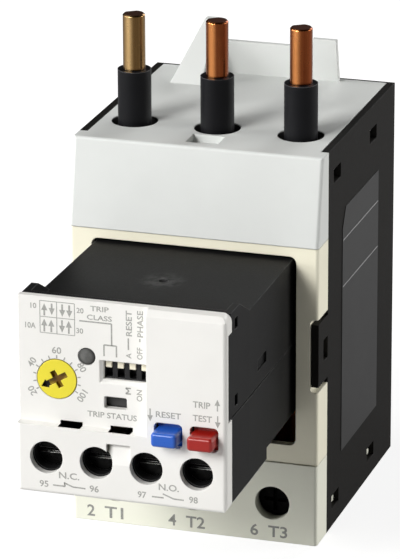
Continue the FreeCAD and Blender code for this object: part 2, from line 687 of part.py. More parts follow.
dial_z = seam + dim.dial_rise
led_z = seam + dim.led_rise
dip_z = seam + dim.dip_rise
flag_z = seam + dim.flag_rise
lever_z = seam - dim.lever_drop
dial_x = dim.dial_inset - module_half
led_x = dim.led_inset - module_half
dip_x = dim.dip_inset - module_half
dip_left = dim.dip_opening_inset - module_half
flag_x = dim.flag_inset - module_half
panel_edge = dim.panel_width - module_half
reset_x = module_half - dim.reset_inset
trip_x = module_half - dim.trip_inset
ledge_slot_left = dim.ledge_slot_inset - module_half
lever_back = fascia_front + dim.fascia_wall + dim.seam_gap
flange_back = lever_back + dim.lever_flange
stem_low = lever_z - dim.stem_height / 2
stem_back = fascia_front + dim.stem_end
trip_stem_x = trip_x + dim.trip_stem_shift
dip_face = fascia_back + dim.seam_gap
dip_slot_low = dip_z - dim.dip_slot_height / 2
dip_slot_high = dip_z + dim.dip_slot_height / 2
dip_places = [dip_x + dim.dip_pitch * k for k in (-1.5, -0.5, 0.5, 1.5)]
board_front = fascia_front + dim.board_inset
board_back = board_front + dim.board_wall
sensor_front = dim.module_entry + dim.sensor_inset
sensor_back = sensor_front + dim.board_wall
connector_low = seam + dim.connector_rise
connector_high = connector_low + dim.connector_height
yoke_low = upper_low + dim.seat_gap
yoke_high = upper_ceiling - dim.seat_gap
coil_radius = dim.coil_diameter / 2
plunger_radius = dim.plunger_diameter / 2
spring_low = divider_top + dim.seat_gap
spring_top = stem_low - dim.seat_gap
spring_front = fascia_front + dim.spring_front


def base_housing():
    """Rear shell: back wall, side panels with snap windows, pole barriers and transformer shelf."""
    piece = Piece("base_housing")
    piece.pad("Z", 0 * dim.height, dim.height, Polygon([
        (-half, dim.return_depth), (-inner, dim.return_depth), (-inner, inner_back),
        (inner, inner_back), (inner, dim.return_depth), (half, dim.return_depth),
        (half, dim.depth), (-half, dim.depth)]))
    rear = (dim.depth, dim.depth)
    piece.fillet(dim.rear_radius, piece.edges(
        "Z", [(-half, -half), rear, (0, dim.height)], [(half, half), rear, (0, dim.height)])
        + piece.edges("X", [(-half, half), rear, (dim.height, dim.height)],
                      [(-half, half), rear, (0, 0)]))
    piece.pad("Z", dim.tab_low, tab_high,
              *both_sides(inner, half, dim.tab_front, dim.return_depth + dim.bond))
    far = half + dim.overshoot
    piece.pocket("X", -far, far, rectangle(tab_slot_front, tab_slot_back, tab_slot_foot, tab_slot_head))
    windows = [rectangle(start, start + dim.snap_length, low, low + dim.snap_height)
               for start in snap_starts for low in (dim.snap_rise, snap_upper)]
    piece.pocket("X", -far, far, *windows)
    barrier_x = dim.pole_pitch / 2
    barrier = dim.barrier_wall / 2
    piece.pad("Z", dim.floor_wall + dim.seat_gap, shelf_top + dim.barrier_rise,
              *both_sides(barrier_x - barrier, barrier_x + barrier,
                          sensor_back + dim.barrier_inset, inner_back + dim.bond))
    piece.pad("Z", dim.shelf_low, shelf_top, rectangle(
        -inner - dim.bond, inner + dim.bond, sensor_front - dim.bond, inner_back + dim.bond))
    piece.pocket("Z", dim.shelf_low - dim.overshoot, shelf_top + dim.overshoot,
                 *[Circle(x, dim.pole_inset, bar_radius + dim.pin_fit) for x in poles])


def snap_tongues(piece, foot, head, low, slope_up):
    """Tongues inside the side panels with wedge lugs that stand in the panels' windows."""
    lug_low = low + dim.snap_gap
    lug_high = low + dim.snap_height - dim.snap_gap
    root, tip = lid_half - dim.bond, lid_half + dim.lug_reach
    blunt = (lug_high - lug_low) / 3
    for start in snap_starts:
        piece.pad("Z", foot, head,
                  *both_sides(lid_half - dim.tongue_wall, lid_half, start, start + dim.snap_length))
        if slope_up:
            wedge = [(root, lug_low), (tip, lug_low), (tip, lug_low + blunt), (root, lug_high)]
        else:
            wedge = [(root, lug_low), (tip, lug_high - blunt), (tip, lug_high), (root, lug_high)]
        mirrored = [(-u, v) for u, v in reversed(wedge)]
        piece.pad("Y", start + dim.snap_gap, start + dim.snap_length - dim.snap_gap,
                  Polygon(wedge), Polygon(mirrored))


def top_cover():
    """Grey hood and lid with the pin holes, the catch recess and the hook that catches the contactor."""
    piece = Piece("top_cover")
    lid_low = dim.height - dim.cover_wall
    lean = dim.hood_lean / (dim.height - hood_low)
    piece.pad("X", -half, half, Polygon([
        (0 * half, hood_low), (dim.hood_lean, dim.height), (return_end, dim.height), (return_end, hood_low)]))
    slope, tall = (0, dim.hood_lean), (hood_low, dim.height)
    piece.fillet(dim.edge_radius, piece.edges(
        "X", [(0, 0), (dim.hood_lean, dim.hood_lean), (dim.height, dim.height)])
        + piece.edges("Z", [(-half, -half), slope, tall], [(half, half), slope, tall]))
    piece.pocket("X", -cover_inner, cover_inner, Polygon([
        (dim.cover_wall, hood_low - dim.overshoot), (dim.cover_wall, hood_low),
        (dim.cover_wall + lean * (lid_low - hood_low), lid_low),
        (dim.return_depth, lid_low), (dim.return_depth, hood_low - dim.overshoot)]))
    piece.pad("Z", lid_low, dim.height, rectangle(-lid_half, lid_half, return_end - dim.bond, lid_back))
    snap_tongues(piece, snap_upper - dim.tongue_run, lid_low + dim.bond, snap_upper, False)
    piece.pocket("Z", lid_low - dim.overshoot, dim.height + dim.overshoot,
                 *[Circle(x, dim.pole_inset, dim.pin_hole_diameter / 2) for x in poles])
    piece.pocket("Z", dim.height - dim.catch_depth, dim.height + dim.overshoot, rectangle(
        -dim.catch_width / 2, dim.catch_width / 2, dim.catch_front, dim.catch_front + dim.catch_length))
    hook(piece)


def hook(piece):
    """Contactor hook: a slanting wing at the left, an upright wall and a horn at the right."""
    foot = dim.height - dim.bond
    wing_top = dim.height + dim.wing_rise
    wing_right = dim.wing_width - dim.wing_reach
    piece.pad("X", -dim.wing_reach, wing_right, Polygon([
        (lid_back - dim.wing_depth, foot), (lid_back, foot), (lid_back, wing_top),
        (lid_back - dim.wing_crest, wing_top), (lid_back - dim.wing_depth, dim.height)]))
    piece.pocket("Y", lid_back - dim.wing_depth - dim.overshoot, lid_back + dim.overshoot, Polygon([
        (-dim.wing_reach, dim.height), (dim.wing_taper - dim.wing_reach, wing_top),
        (dim.wing_taper - dim.wing_reach, wing_top + dim.overshoot),
        (-dim.wing_reach - dim.overshoot, wing_top + dim.overshoot),
        (-dim.wing_reach - dim.overshoot, dim.height)]))
    wall_top = dim.height + dim.hook_wall_rise
    plate_back = lid_back - dim.hook_inset
    plate_front = plate_back - dim.hook_wall
    piece.pad("Y", plate_front, plate_back,
              rectangle(wing_right - dim.bond, dim.horn_left + dim.bond, foot, wall_top))
    horn_right = dim.horn_left + dim.horn_width
    horn_top = dim.height + dim.horn_rise
    crest_left = horn_right - dim.horn_taper - dim.horn_crest
    piece.pad("Y", plate_front, plate_back, Polygon([
        (dim.horn_left, foot), (horn_right, foot), (horn_right, dim.height),
        (horn_right - dim.horn_taper, horn_top), (crest_left, horn_top), (crest_left, wall_top),
        (dim.horn_left, wall_top)]))


def front_cover():
    """Cream front cover with the module's window, notched at both sides for the base's tabs."""
    piece = Piece("front_cover")
    skin = dim.front_recess + dim.cover_wall
    piece.pad("Z", cream_low, cream_top, Polygon([
        (-half, dim.front_recess), (half, dim.front_recess), (half, return_end), (cover_inner, return_end),
        (cover_inner, skin), (-cover_inner, skin), (-cover_inner, return_end), (-half, return_end)]))
    tall = (cream_low, cream_top)
    front = (dim.front_recess, dim.front_recess)
    piece.fillet(dim.edge_radius, piece.edges("Z", [(-half, -half), front, tall], [(half, half), front, tall]))
    backing_low = dim.tab_low - dim.tab_room - dim.cover_wall
    backing_high = tab_high + dim.tab_room + dim.cover_wall
    piece.pad("Z", backing_low, backing_high,
              *both_sides(lid_half - dim.tab_backing, lid_half, skin - dim.bond, return_end))
    notch = (dim.tab_low - dim.tab_room, tab_high + dim.tab_room, dim.tab_corner)
    past = half + 2 * dim.overshoot
    piece.pocket("Y", -dim.overshoot, dim.return_depth + dim.overshoot,
                 RoundedRectangle(lid_half, past, *notch), RoundedRectangle(-past, -lid_half, *notch))
    piece.pad("Z", tab_slot_foot + dim.snap_gap, tab_slot_head - dim.snap_gap,
              *both_sides(lid_half - dim.bond, lid_half + dim.lug_reach,
                          tab_slot_front + dim.seam_gap, tab_slot_back - dim.seam_gap))
    piece.pocket("Y", -dim.overshoot, skin + dim.overshoot, RoundedRectangle(
        -window_half, window_half, window_low, window_top, dim.window_radius))


def terminal_cover():
    """Grey lower cover with screw access holes, floor and wire entries of the load terminals."""
    piece = Piece("terminal_cover")
    ground = 0 * sill_top
    piece.pad("Z", ground, sill_top, Polygon([
        (-half, ground), (half, ground), (half, return_end), (cover_inner, return_end),
        (cover_inner, dim.cover_wall), (-cover_inner, dim.cover_wall), (-cover_inner, return_end),
        (-half, return_end)]))
    tall = (0, sill_top)
    piece.fillet(dim.edge_radius, piece.edges("Z", [(-half, -half), (0, 0), tall], [(half, half), (0, 0), tall]))
    piece.pad("Z", ground, dim.floor_wall, rectangle(
        -lid_half, lid_half, dim.cover_wall - dim.bond, lid_back))
    snap_tongues(piece, dim.floor_wall - dim.bond, dim.snap_rise + dim.snap_height + dim.tongue_run,
                 dim.snap_rise, True)
    access = dim.access_diameter / 2
    piece.pad("Y", dim.cover_wall - dim.bond, head_back - dim.head_gap,
              *[Circle(x, dim.terminal_axis, access + dim.access_wall) for x in terminals])
    piece.pocket("Y", -dim.overshoot, head_back + dim.overshoot,
                 *[Circle(x, dim.terminal_axis, access) for x in terminals])
    piece.pocket("Z", -dim.overshoot, dim.floor_wall + dim.overshoot,
                 *[rectangle(x - cage_inner, x + cage_inner, blade_back, cage_rear_inner)
                   for x in terminals])


def conductor(name, x, terminal):
    """Line pin with a thicker D-shaped end, flattened below the shelf to the terminal's blade."""
    piece = Piece(name, x=x, y=dim.pole_inset)
    neck = dim.shelf_low - dim.seat_gap
    pin_top = dim.height + dim.pin_rise
    left, right, thick = terminal - x - dim.blade_width / 2, terminal - x + dim.blade_width / 2, dim.blade_thick / 2
    piece.pad("Z", dim.floor_wall + dim.blade_end, neck, rectangle(left, right, -thick, thick))
    shoulder = dim.height + dim.sleeve_rise + dim.pin_shoulder
    centre = 0 * bar_radius
    piece.revolve("Z", Polygon([
        (centre, neck), (bar_radius, neck), (bar_radius, shoulder), (pin_radius, shoulder),
        (pin_radius, pin_top - dim.pin_edge), (pin_radius - dim.pin_edge, pin_top), (centre, pin_top)]))
    wide = pin_radius + dim.overshoot
    flat = [(-wide, dim.pin_flat), (wide, dim.pin_flat), (wide, wide), (-wide, wide)]
    piece.pocket("Z", shoulder, pin_top + dim.overshoot, Polygon(turned(flat, dim.pin_turn)))


def pin_sleeve(name, x):
    """Insulating sleeve that stands on the transformer and reaches out of the lid."""
    piece = Piece(name, x=x, y=dim.pole_inset)
    piece.pad("Z", ct_top + dim.seat_gap, dim.height + dim.sleeve_rise,
              Circle(0, 0, dim.sleeve_diameter / 2), Circle(0, 0, bar_radius + dim.pin_fit))


def current_transformer(number_name, x):
    """Ring core in a winding that wraps its ends and its outside."""
    bore, outside = dim.ct_bore / 2, inner - dim.pole_pitch - dim.ct_room
    core = bore + dim.core_wall
    low, high = ct_low + dim.ct_lip, ct_top - dim.ct_lip
    Piece("ct_winding_" + number_name, x=x, y=dim.pole_inset).revolve("Z", Polygon([
        (bore, ct_low), (outside, ct_low), (outside, ct_top), (bore, ct_top), (bore, high),
        (core + dim.seat_gap, high), (core + dim.seat_gap, low), (bore, low)]))
    Piece("ct_core_" + number_name, x=x, y=dim.pole_inset).pad(
        "Z", low + dim.seat_gap, high - dim.seat_gap, Circle(0, 0, core), Circle(0, 0, bore))


def terminal_screw(name, x):
    """Clamp screw: its tip bears on the blade while its thread draws the cage forward."""
    piece = Piece(name, x=x, z=dim.terminal_axis)
    head, shank = dim.head_diameter / 2, dim.shank_diameter / 2
    tip = blade_front - dim.seat_gap
    centre = 0 * head
    piece.revolve("Y", Polygon([(centre, head_front), (head, head_front), (head, head_back),
                                (shank, head_back), (shank, tip), (centre, tip)]))
    piece.pocket("Y", head_front - dim.overshoot, head_front + dim.drive_depth,
                 cross(dim.drive_length, dim.drive_width))


def terminal_cage(name, x):
    """Rising cage: a band round the blade and the wire, with the screw's thread in its front wall."""
    piece = Piece(name, x=x, z=dim.terminal_axis)
    up = dim.cage_height / 2
    piece.pad("Z", -up, up, rectangle(-cage_half, cage_half, cage_front, cage_rear),
              rectangle(-cage_inner, cage_inner, cage_front + dim.cage_nut, cage_rear_inner))
    piece.pocket("Y", cage_front - dim.overshoot, cage_front + dim.cage_nut + dim.overshoot,
                 Circle(0, 0, dim.shank_diameter / 2 + dim.thread_gap))


def sensor_board():
    """Board in front of the transformers, with the connector that enters the module."""
    Piece("sensor_board").pad("Y", sensor_front, sensor_back, rectangle(
        dim.board_room - inner, inner - dim.board_room, ct_low, ct_low + dim.sensor_height))
    side = dim.connector_width / 2
    Piece("board_connector").pad(
        "Y", dim.module_entry - dim.connector_depth, sensor_front - dim.seat_gap,
        rectangle(-side, side, connector_low, connector_high))


def tapered_sides(piece, low, high):
    """Taper of the module's sides towards the end that stands in the housing."""
    rear, beside = dim.module_entry + dim.overshoot, module_half + dim.overshoot
    taper = [(module_half, -dim.draft_front), (beside, -dim.draft_front), (beside, rear),
             (module_half - dim.draft, rear)]
    mirrored = [(-u, v) for u, v in reversed(taper)]
    piece.pocket("Z", low - dim.overshoot, high + dim.overshoot, Polygon(taper), Polygon(mirrored))


def module_upper_housing():
    """Upper shell of the module, with the upright flange and side gussets behind the fascia."""
    piece = Piece("module_upper_housing")
    gusset_end = shell_front + dim.gusset_level + dim.gusset_run
    piece.pad("X", -module_half, module_half, Polygon([
        (shell_front, upper_low), (dim.module_entry, upper_low), (dim.module_entry, module_top),
        (gusset_end, module_top), (shell_front + dim.gusset_level, flange_top), (shell_front, flange_top)]))
    above = flange_top + dim.overshoot
    piece.pocket("X", -module_inner, module_inner, Polygon([
        (shell_front + dim.module_wall, module_top), (gusset_end + dim.overshoot, module_top),
        (gusset_end + dim.overshoot, above), (shell_front + dim.module_wall, above)]))
    rear = dim.module_entry - dim.module_wall
    piece.pocket("X", -module_inner, module_inner, rectangle(
        shell_front - dim.overshoot, rear, upper_low - dim.overshoot, upper_ceiling))
    piece.pocket("Z", module_top - dim.dimple_depth, module_top + dim.overshoot,
                 Circle(0, -dim.dimple_front, dim.dimple_diameter / 2))
    groove = rectangle(shell_front - dim.overshoot, dim.module_entry + dim.overshoot,
                       upper_low - dim.overshoot, upper_low + dim.groove_height)
    piece.pocket("X", module_half - dim.groove_depth, module_half + dim.overshoot, groove)
    piece.pocket("X", -module_half - dim.overshoot, dim.groove_depth - module_half, groove)
    tapered_sides(piece, upper_low, flange_top)
    piece.pad("Z", ear_low, ear_top, rectangle(
        module_half - dim.ear_wall, module_half, shell_front - dim.ear_reach, shell_front + dim.bond))
    latch_low = seam + dim.latch_rise
    latch = rectangle(-dim.latch_front, dim.latch_length - dim.latch_front,
                      latch_low, latch_low + dim.latch_height)
    piece.pocket("X", module_half - dim.latch_depth, module_half + dim.overshoot, latch)
    piece.pocket("X", -module_half - dim.overshoot, dim.latch_depth - module_half, latch)
    clips = [rectangle(-dim.clip_front, dim.clip_length - dim.clip_front,
                       seam + rise, seam + rise + dim.clip_height) for rise in (dim.clip_low, dim.clip_high)]
    piece.pocket("X", module_half - dim.clip_depth, module_half + dim.overshoot, *clips)
    piece.pocket("X", -module_half - dim.overshoot, dim.clip_depth - module_half, *clips)
    side = dim.connector_width / 2 + dim.seam_gap
    piece.pocket("Y", rear - dim.overshoot, dim.module_entry + dim.overshoot, rectangle(
        -side, side, connector_low - dim.seam_gap, connector_high + dim.seam_gap))


def module_lower_housing():
    """Lower shell of the module with the auxiliary terminal block, dividers and guides."""
    piece = Piece("module_lower_housing")
    piece.pad("X", -module_half, module_half, Polygon([
        (shell_front, module_low), (step_front, module_low), (step_front, step_low),
        (dim.module_entry, step_low), (dim.module_entry, seam), (shell_front, seam)]))
    step_floor = step_low + dim.module_wall
    step_inner = step_front - dim.module_wall
    rear = dim.module_entry - dim.module_wall
    piece.pocket("X", -module_inner, module_inner, Polygon([
        (shell_front - dim.overshoot, module_floor), (step_inner, module_floor), (step_inner, step_floor),
        (rear, step_floor), (rear, seam + dim.overshoot), (shell_front - dim.overshoot, seam + dim.overshoot)]))
    wide = module_inner + dim.bond
    foot = module_floor - dim.bond
    piece.pad("Y", shell_front, aux_block_back, rectangle(-wide, wide, foot, aux_block_top))
    nose_half = fascia_inner - dim.aux_block_room
    piece.pad("Y", aux_block_front, shell_front + dim.bond, rectangle(
        -nose_half, nose_half, module_floor, aux_block_top))
    piece.pocket("Y", aux_block_front - dim.overshoot, aux_block_back + dim.overshoot,
                 *[Circle(x, aux_axis, aux_radius - dim.aux_block_step) for x in aux_places])
    divider = dim.divider_wall / 2
    piece.pad("Z", foot, divider_top,
              *[rectangle(x - divider, x + divider, aux_block_back - dim.bond, fascia_front + dim.divider_end)
                for x in (-aux_pitch, 0 * aux_pitch, aux_pitch)])
    lever_bracket(piece)
    near, far = bar_front - dim.carriage_gap, bar_back + dim.carriage_gap
    guide = module_inner - dim.guide_reach
    piece.pad("Z", foot, seam - dim.seat_gap,
              *both_sides(guide, wide, near - dim.guide_wall, near),
              *both_sides(guide, wide, far, far + dim.guide_wall))
    entry = aux_cage_inner
    piece.pocket("Z", module_low - dim.overshoot, module_floor + dim.overshoot,
                 *[rectangle(x - entry, x + entry, aux_blade_back, aux_rear_inner) for x in aux_places])
    tapered_sides(piece, module_low, seam)


def lever_bracket(piece):
    """Wall behind the levers, notched for their stems, and the ledge under the trip lever's spring."""
    wide = module_inner + dim.bond
    bracket_front = fascia_front + dim.bracket_inset
    left = panel_edge + dim.panel_side
    piece.pad("Y", bracket_front, bracket_front + dim.bracket_wall, rectangle(
        left, wide, aux_block_top - dim.bond, seam))
    notch = dim.stem_width / 2 + dim.stem_room
    piece.pocket("Y", bracket_front - dim.overshoot, bracket_front + dim.bracket_wall + dim.overshoot,
                 *[rectangle(x - notch, x + notch, stem_low - dim.stem_drop, seam + dim.overshoot)
                   for x in (reset_x, trip_stem_x)])
    ledge_left = module_inner - dim.guide_reach
    piece.pad("Z", divider_top - dim.spring_ledge, divider_top, rectangle(
        ledge_left, wide, spring_front - dim.bond, spring_front + dim.spring_length + dim.bond))


def fascia():
    """White front of the module: a raised hollow frame with the setting panel let into it."""
    piece = Piece("fascia")
    past = fascia_front - dim.overshoot
    piece.pad("Y", fascia_front, fascia_back, rectangle(-fascia_half, fascia_half, fascia_low, fascia_top))
    piece.pocket("Y", past, panel_front, rectangle(
        -fascia_half - dim.overshoot, panel_edge, ledge, fascia_top + dim.overshoot))
    front = (fascia_front, fascia_front)
    piece.chamfer(dim.brow_bevel, piece.edges(
        "X", [(panel_edge, fascia_half), front, (fascia_top, fascia_top)]))
    right = (fascia_half, fascia_half)
    left = (-fascia_half, -fascia_half)
    whole = (fascia_low, fascia_top)
    piece.fillet(dim.fascia_radius, piece.edges("Z", [right, front, whole], [left, front, whole])
                 + piece.edges("X", [(-fascia_half, fascia_half), front, (fascia_low, fascia_low)]))
    hollow_left = panel_edge + dim.panel_side
    hollow_top = fascia_top - dim.brow_bevel - dim.fascia_wall / 2
    piece.pocket("Y", fascia_front + dim.fascia_wall, fascia_back + dim.overshoot, Polygon([
        (-fascia_inner, fascia_low + dim.fascia_wall), (fascia_inner, fascia_low + dim.fascia_wall),
        (fascia_inner, hollow_top), (hollow_left, hollow_top),
        (hollow_left, ledge - dim.ledge_wall), (-fascia_inner, ledge - dim.ledge_wall)]))
    rebate = module_half - dim.ear_wall - dim.seam_gap
    piece.pocket("Z", ear_low - dim.seam_gap, ear_top + dim.seam_gap, rectangle(
        rebate, fascia_half + dim.overshoot,
        shell_front - dim.ear_reach - dim.seam_gap, fascia_back + dim.overshoot))
    deep = fascia_back + dim.overshoot
    around = dim.brow_corner + dim.foot_corner
    outer = rectangle(-fascia_half - 2 * around, fascia_half + 2 * around,
                      fascia_low - 2 * around, fascia_top + 2 * around)
    piece.pocket("Y", past, deep, outer, RoundedRectangle(
        -fascia_half - around, fascia_half, fascia_low - around, fascia_top, dim.brow_corner))
    piece.pocket("Y", past, deep, outer, RoundedRectangle(
        -fascia_half, fascia_half, fascia_low, fascia_top + around, dim.foot_corner))
    piece.pocket("Y", past, deep, *[Circle(x, aux_axis, aux_radius) for x in aux_places])
    piece.pocket("Y", past, deep, Circle(dial_x, dial_z, dim.dial_diameter / 2 + dim.dial_gap),
                 Circle(led_x, led_z, dim.led_diameter / 2 + dim.led_gap))
    dip_up = dim.dip_opening_height / 2
    piece.pocket("Y", past, deep, rectangle(dip_left, panel_edge, dip_z - dip_up, dip_z + dip_up))
    on_panel = (panel_front, panel_front)
    piece.chamfer(dim.dip_bevel, piece.edges(
        "Z", [(dip_left, dip_left), on_panel, (dip_z - dip_up, dip_z + dip_up)])
        + piece.edges("X", [(dip_left, panel_edge), on_panel, (dip_z - dip_up, dip_z - dip_up)]))
    side, up = dim.flag_window_width / 2, dim.flag_window_height / 2
    piece.pocket("Y", past, deep, RoundedRectangle(
        flag_x - side, flag_x + side, flag_z - up, flag_z + up, dim.flag_window_radius))
    slot = dim.ledge_slot_width / 2
    piece.pocket("Y", fascia_front + dim.ledge_slot_lip, deep, *[
        rectangle(x - slot, x + slot, ledge - dim.ledge_slot_drop, ledge + dim.ledge_slot_rise)
        for x in (ledge_slot_left, ledge_slot_left + dim.ledge_slot_pitch)])
    side, notch_top = dim.notch_width / 2, aux_axis + dim.notch_rise
    piece.pocket("X", dim.notch_centre - side, dim.notch_centre + side, Polygon([
        (fascia_front, notch_top - dim.notch_height), (fascia_front + dim.notch_depth, notch_top),
        (past, notch_top), (past, notch_top - dim.notch_height)]))
    side, up = dim.lever_width / 2 + dim.lever_gap, dim.lever_opening_height / 2
    piece.pocket("Y", past, deep, *[RoundedRectangle(
        x - side, x + side, lever_z - up, lever_z + up, dim.lever_opening_radius)
        for x in (reset_x, trip_x)])


def current_dial():
    """Setting dial with a collar behind the fascia, a shaft and a crossed screwdriver slot."""
    piece = Piece("current_dial", x=dial_x, z=dial_z)
    face = panel_front - dim.dial_proud
    radius, shaft = dim.dial_diameter / 2, dim.shaft_diameter / 2
    collar_front = fascia_back + dim.seam_gap
    collar_back = collar_front + dim.dial_collar_wall
    end = collar_back + dim.shaft_length
    centre = 0 * radius
    piece.revolve("Y", Polygon([
        (centre, face), (radius, face), (radius, collar_front), (radius + dim.dial_collar, collar_front),
        (radius + dim.dial_collar, collar_back), (shaft, collar_back), (shaft, end), (centre, end)]))
    piece.pocket("Y", face - dim.overshoot, face + dim.dial_slot_depth, dial_slot())


def dial_slot():
    """Crossed slot whose longest arm ends in an arrowhead that points at the setting."""
    wide, arm, tail = dim.dial_slot_width / 2, dim.dial_slot_arm, dim.dial_slot_tail
    foot, tip, barb = dim.dial_arrow_foot, dim.dial_arrow_tip, dim.dial_arrow_width / 2
    below = [(-tail, -wide), (-wide, -wide), (-wide, -arm), (wide, -arm), (wide, -wide), (foot, -wide), (foot, -barb)]
    above = [(u, -1 * v) for u, v in reversed(below)]
    return Polygon(turned(below + [(tip, 0 * tip)] + above, dim.dial_turn))


def dial_potentiometer():
    """Potentiometer on the control board that takes the dial's shaft."""
    piece = Piece("dial_potentiometer", x=dial_x, z=dial_z)
    front = fascia_back + dim.seam_gap + dim.dial_collar_wall + dim.lever_gap
    back = board_front - dim.seat_gap
    side, up = dim.pot_width / 2, dim.pot_height / 2
    piece.pad("Y", front, back, rectangle(-side, side, -up, up))
    piece.pocket("Y", front - dim.overshoot, back - dim.spring_wall,
                 Circle(0, 0, dim.shaft_diameter / 2 + dim.shaft_gap))


def status_led():
    """Lamp with a collar behind the fascia and a light guide down to the board."""
    piece = Piece("status_led", x=led_x, z=led_z)
    radius = dim.led_diameter / 2
    collar_front = fascia_back + dim.seam_gap
    collar_back = collar_front + dim.dial_collar_wall
    centre = 0 * radius
    back = board_front - dim.seat_gap
    piece.revolve("Y", Polygon([
        (centre, panel_front - dim.led_proud), (radius, panel_front - dim.led_proud), (radius, collar_front),
        (radius + dim.led_collar, collar_front), (radius + dim.led_collar, collar_back),
        (radius, collar_back), (radius, back), (centre, back)]))


def dip_switch():
    """Switch body with one slot for each slider."""
    piece = Piece("dip_switch")
    side, up = dim.dip_body_width / 2, dim.dip_body_height / 2
    piece.pad("Y", dip_face, board_front - dim.seat_gap, rectangle(
        dip_x - side, dip_x + side, dip_z - up, dip_z + up))
    slot = dim.dip_slot_width / 2
    piece.pocket("Y", dip_face - dim.overshoot, dip_face + dim.dip_slot_depth,
                 *[rectangle(x - slot, x + slot, dip_slot_low, dip_slot_high) for x in dip_places])


def dip_slider(name, x):
    """Slider at the upper end of its slot."""
    top = dip_slot_high - dim.slider_gap
    side = dim.dip_slot_width / 2 - dim.slider_gap
    Piece(name, x=x).pad("Y", dip_face - dim.slider_proud, dip_face + dim.dip_slot_depth - dim.slider_gap,
                         rectangle(-side, side, top - dim.slider_height, top))


def lever(name, x, stem_x):
    """Lever block through the fascia, held by a flange behind it, with a stem to its spring."""
    piece = Piece(name)
    side, up = dim.lever_width / 2, dim.lever_height / 2
    face = fascia_front - dim.lever_proud
    piece.pad("Y", face, lever_back + dim.bond, rectangle(x - side, x + side, lever_z - up, lever_z + up))
    around = [(x - side, x + side), (face, face), (lever_z - up, lever_z + up)]
    along = [(x - side, x + side), (face, lever_back + dim.bond), (lever_z - up, lever_z + up)]
    piece.fillet(dim.lever_radius, piece.edges("X", around) + piece.edges("Z", around)
                 + piece.edges("Y", along))
    piece.pad("Y", lever_back, flange_back, rectangle(
        x - side, x + side, lever_z - dim.lever_flange_down, lever_z + dim.lever_flange_up))
    stem = dim.stem_width / 2
    piece.pad("Y", flange_back - dim.bond, stem_back, rectangle(
        stem_x - stem, stem_x + stem, stem_low, stem_low + dim.stem_height))


def leaf_spring(name, x):
    """Folded leaf between its seat and a lever's stem."""
    back = spring_front + dim.spring_length
    wall, side = dim.spring_wall, dim.spring_width / 2
    Piece(name, x=x).pad("X", -side, side, Polygon([
        (spring_front, spring_low), (back, spring_low), (back, spring_low + 2 * wall),
        (spring_front + 2 * wall, spring_top), (spring_front, spring_top),
        (back - 2 * wall, spring_low + wall), (spring_front, spring_low + wall)]))


def aux_screw(name, x):
    """Slotted clamp screw of an auxiliary terminal."""
    piece = Piece(name, x=x, z=aux_axis)
    head, shank = dim.aux_head_diameter / 2, dim.aux_shank_diameter / 2
    tip = aux_blade_front - dim.seat_gap
    centre = 0 * head
    piece.revolve("Y", Polygon([(centre, aux_head_front), (head, aux_head_front), (head, aux_head_back),
                                (shank, aux_head_back), (shank, tip), (centre, tip)]))
    wide, up = head + dim.overshoot, dim.aux_slot_width / 2
    piece.pocket("Y", aux_head_front - dim.overshoot, aux_head_front + dim.aux_slot_depth,
                 rectangle(-wide, wide, -up, up))


def aux_cage(name, x):
    """Rising cage of an auxiliary terminal."""
    piece = Piece(name, x=x, z=aux_axis)
    up = dim.aux_cage_height / 2
    piece.pad("Z", -up, up, rectangle(-aux_cage_half, aux_cage_half, aux_cage_front, aux_cage_rear),
              rectangle(-aux_cage_inner, aux_cage_inner, aux_cage_front + dim.aux_nut, aux_rear_inner))
    piece.pocket("Y", aux_cage_front - dim.overshoot, aux_cage_front + dim.aux_nut + dim.overshoot,
                 Circle(0, 0, dim.aux_shank_diameter / 2 + dim.thread_gap))


def contact_strip(name, x, tip_x, level):
    """Contact strip: an upright leg in the cage and a level arm whose tip reaches towards its bridge."""
    piece = Piece(name)
    side = dim.aux_blade_width / 2
    top = level + dim.strip_wall
    piece.pad("Y", aux_blade_front, aux_blade_back, rectangle(
        x - side, x + side, module_floor + dim.aux_cage_foot, top))
    if tip_x.value > x.value:
        span = (x - side, tip_x - dim.contact_half_gap)
    else:
        span = (tip_x + dim.contact_half_gap, x + side)
    piece.pad("Z", level, top, rectangle(span[0], span[1], aux_blade_front, strip_back))


def trip_carriage():
    """Moulded cross bar between its guides, with the flag's arm and the opening bridge's post."""
    piece = Piece("trip_carriage")
    piece.pad("Z", bar_low, bar_top, rectangle(-bar_half, bar_half, bar_front, bar_back))
    post = dim.post_width / 2
    piece.pad("Z", nc_low - dim.contact_gap, bar_low + dim.bond, rectangle(
        -aux_pitch - post, post - aux_pitch,
        bar_front + dim.bridge_inset, bar_back - dim.bridge_inset))
    arm_top = bar_top - dim.arm_drop
    piece.pad("Z", arm_top - dim.arm_height, arm_top, rectangle(
        flag_x + dim.arm_shift, flag_x + dim.arm_shift + dim.arm_width,
        fascia_back + dim.flag_gap + dim.flag_wall, bar_front + dim.bond))


def trip_flag():
    """Flag behind the status window, tall enough to fill it before and after a trip."""
    side = dim.flag_window_width / 2 + dim.flag_margin
    top = flag_z + dim.flag_window_height / 2 + dim.trip_travel
    front = fascia_back + dim.flag_gap
    Piece("trip_flag").pad("Y", front, front + dim.flag_wall, rectangle(
        flag_x - side, flag_x + side, bar_top - dim.arm_drop - dim.arm_height, top))


def contact_bridge(name, x, low):
    side = dim.bridge_width / 2
    Piece(name, x=x).pad("Z", low, low + dim.strip_wall, rectangle(
        -side, side, bar_front + dim.bridge_inset, bar_back - dim.bridge_inset))


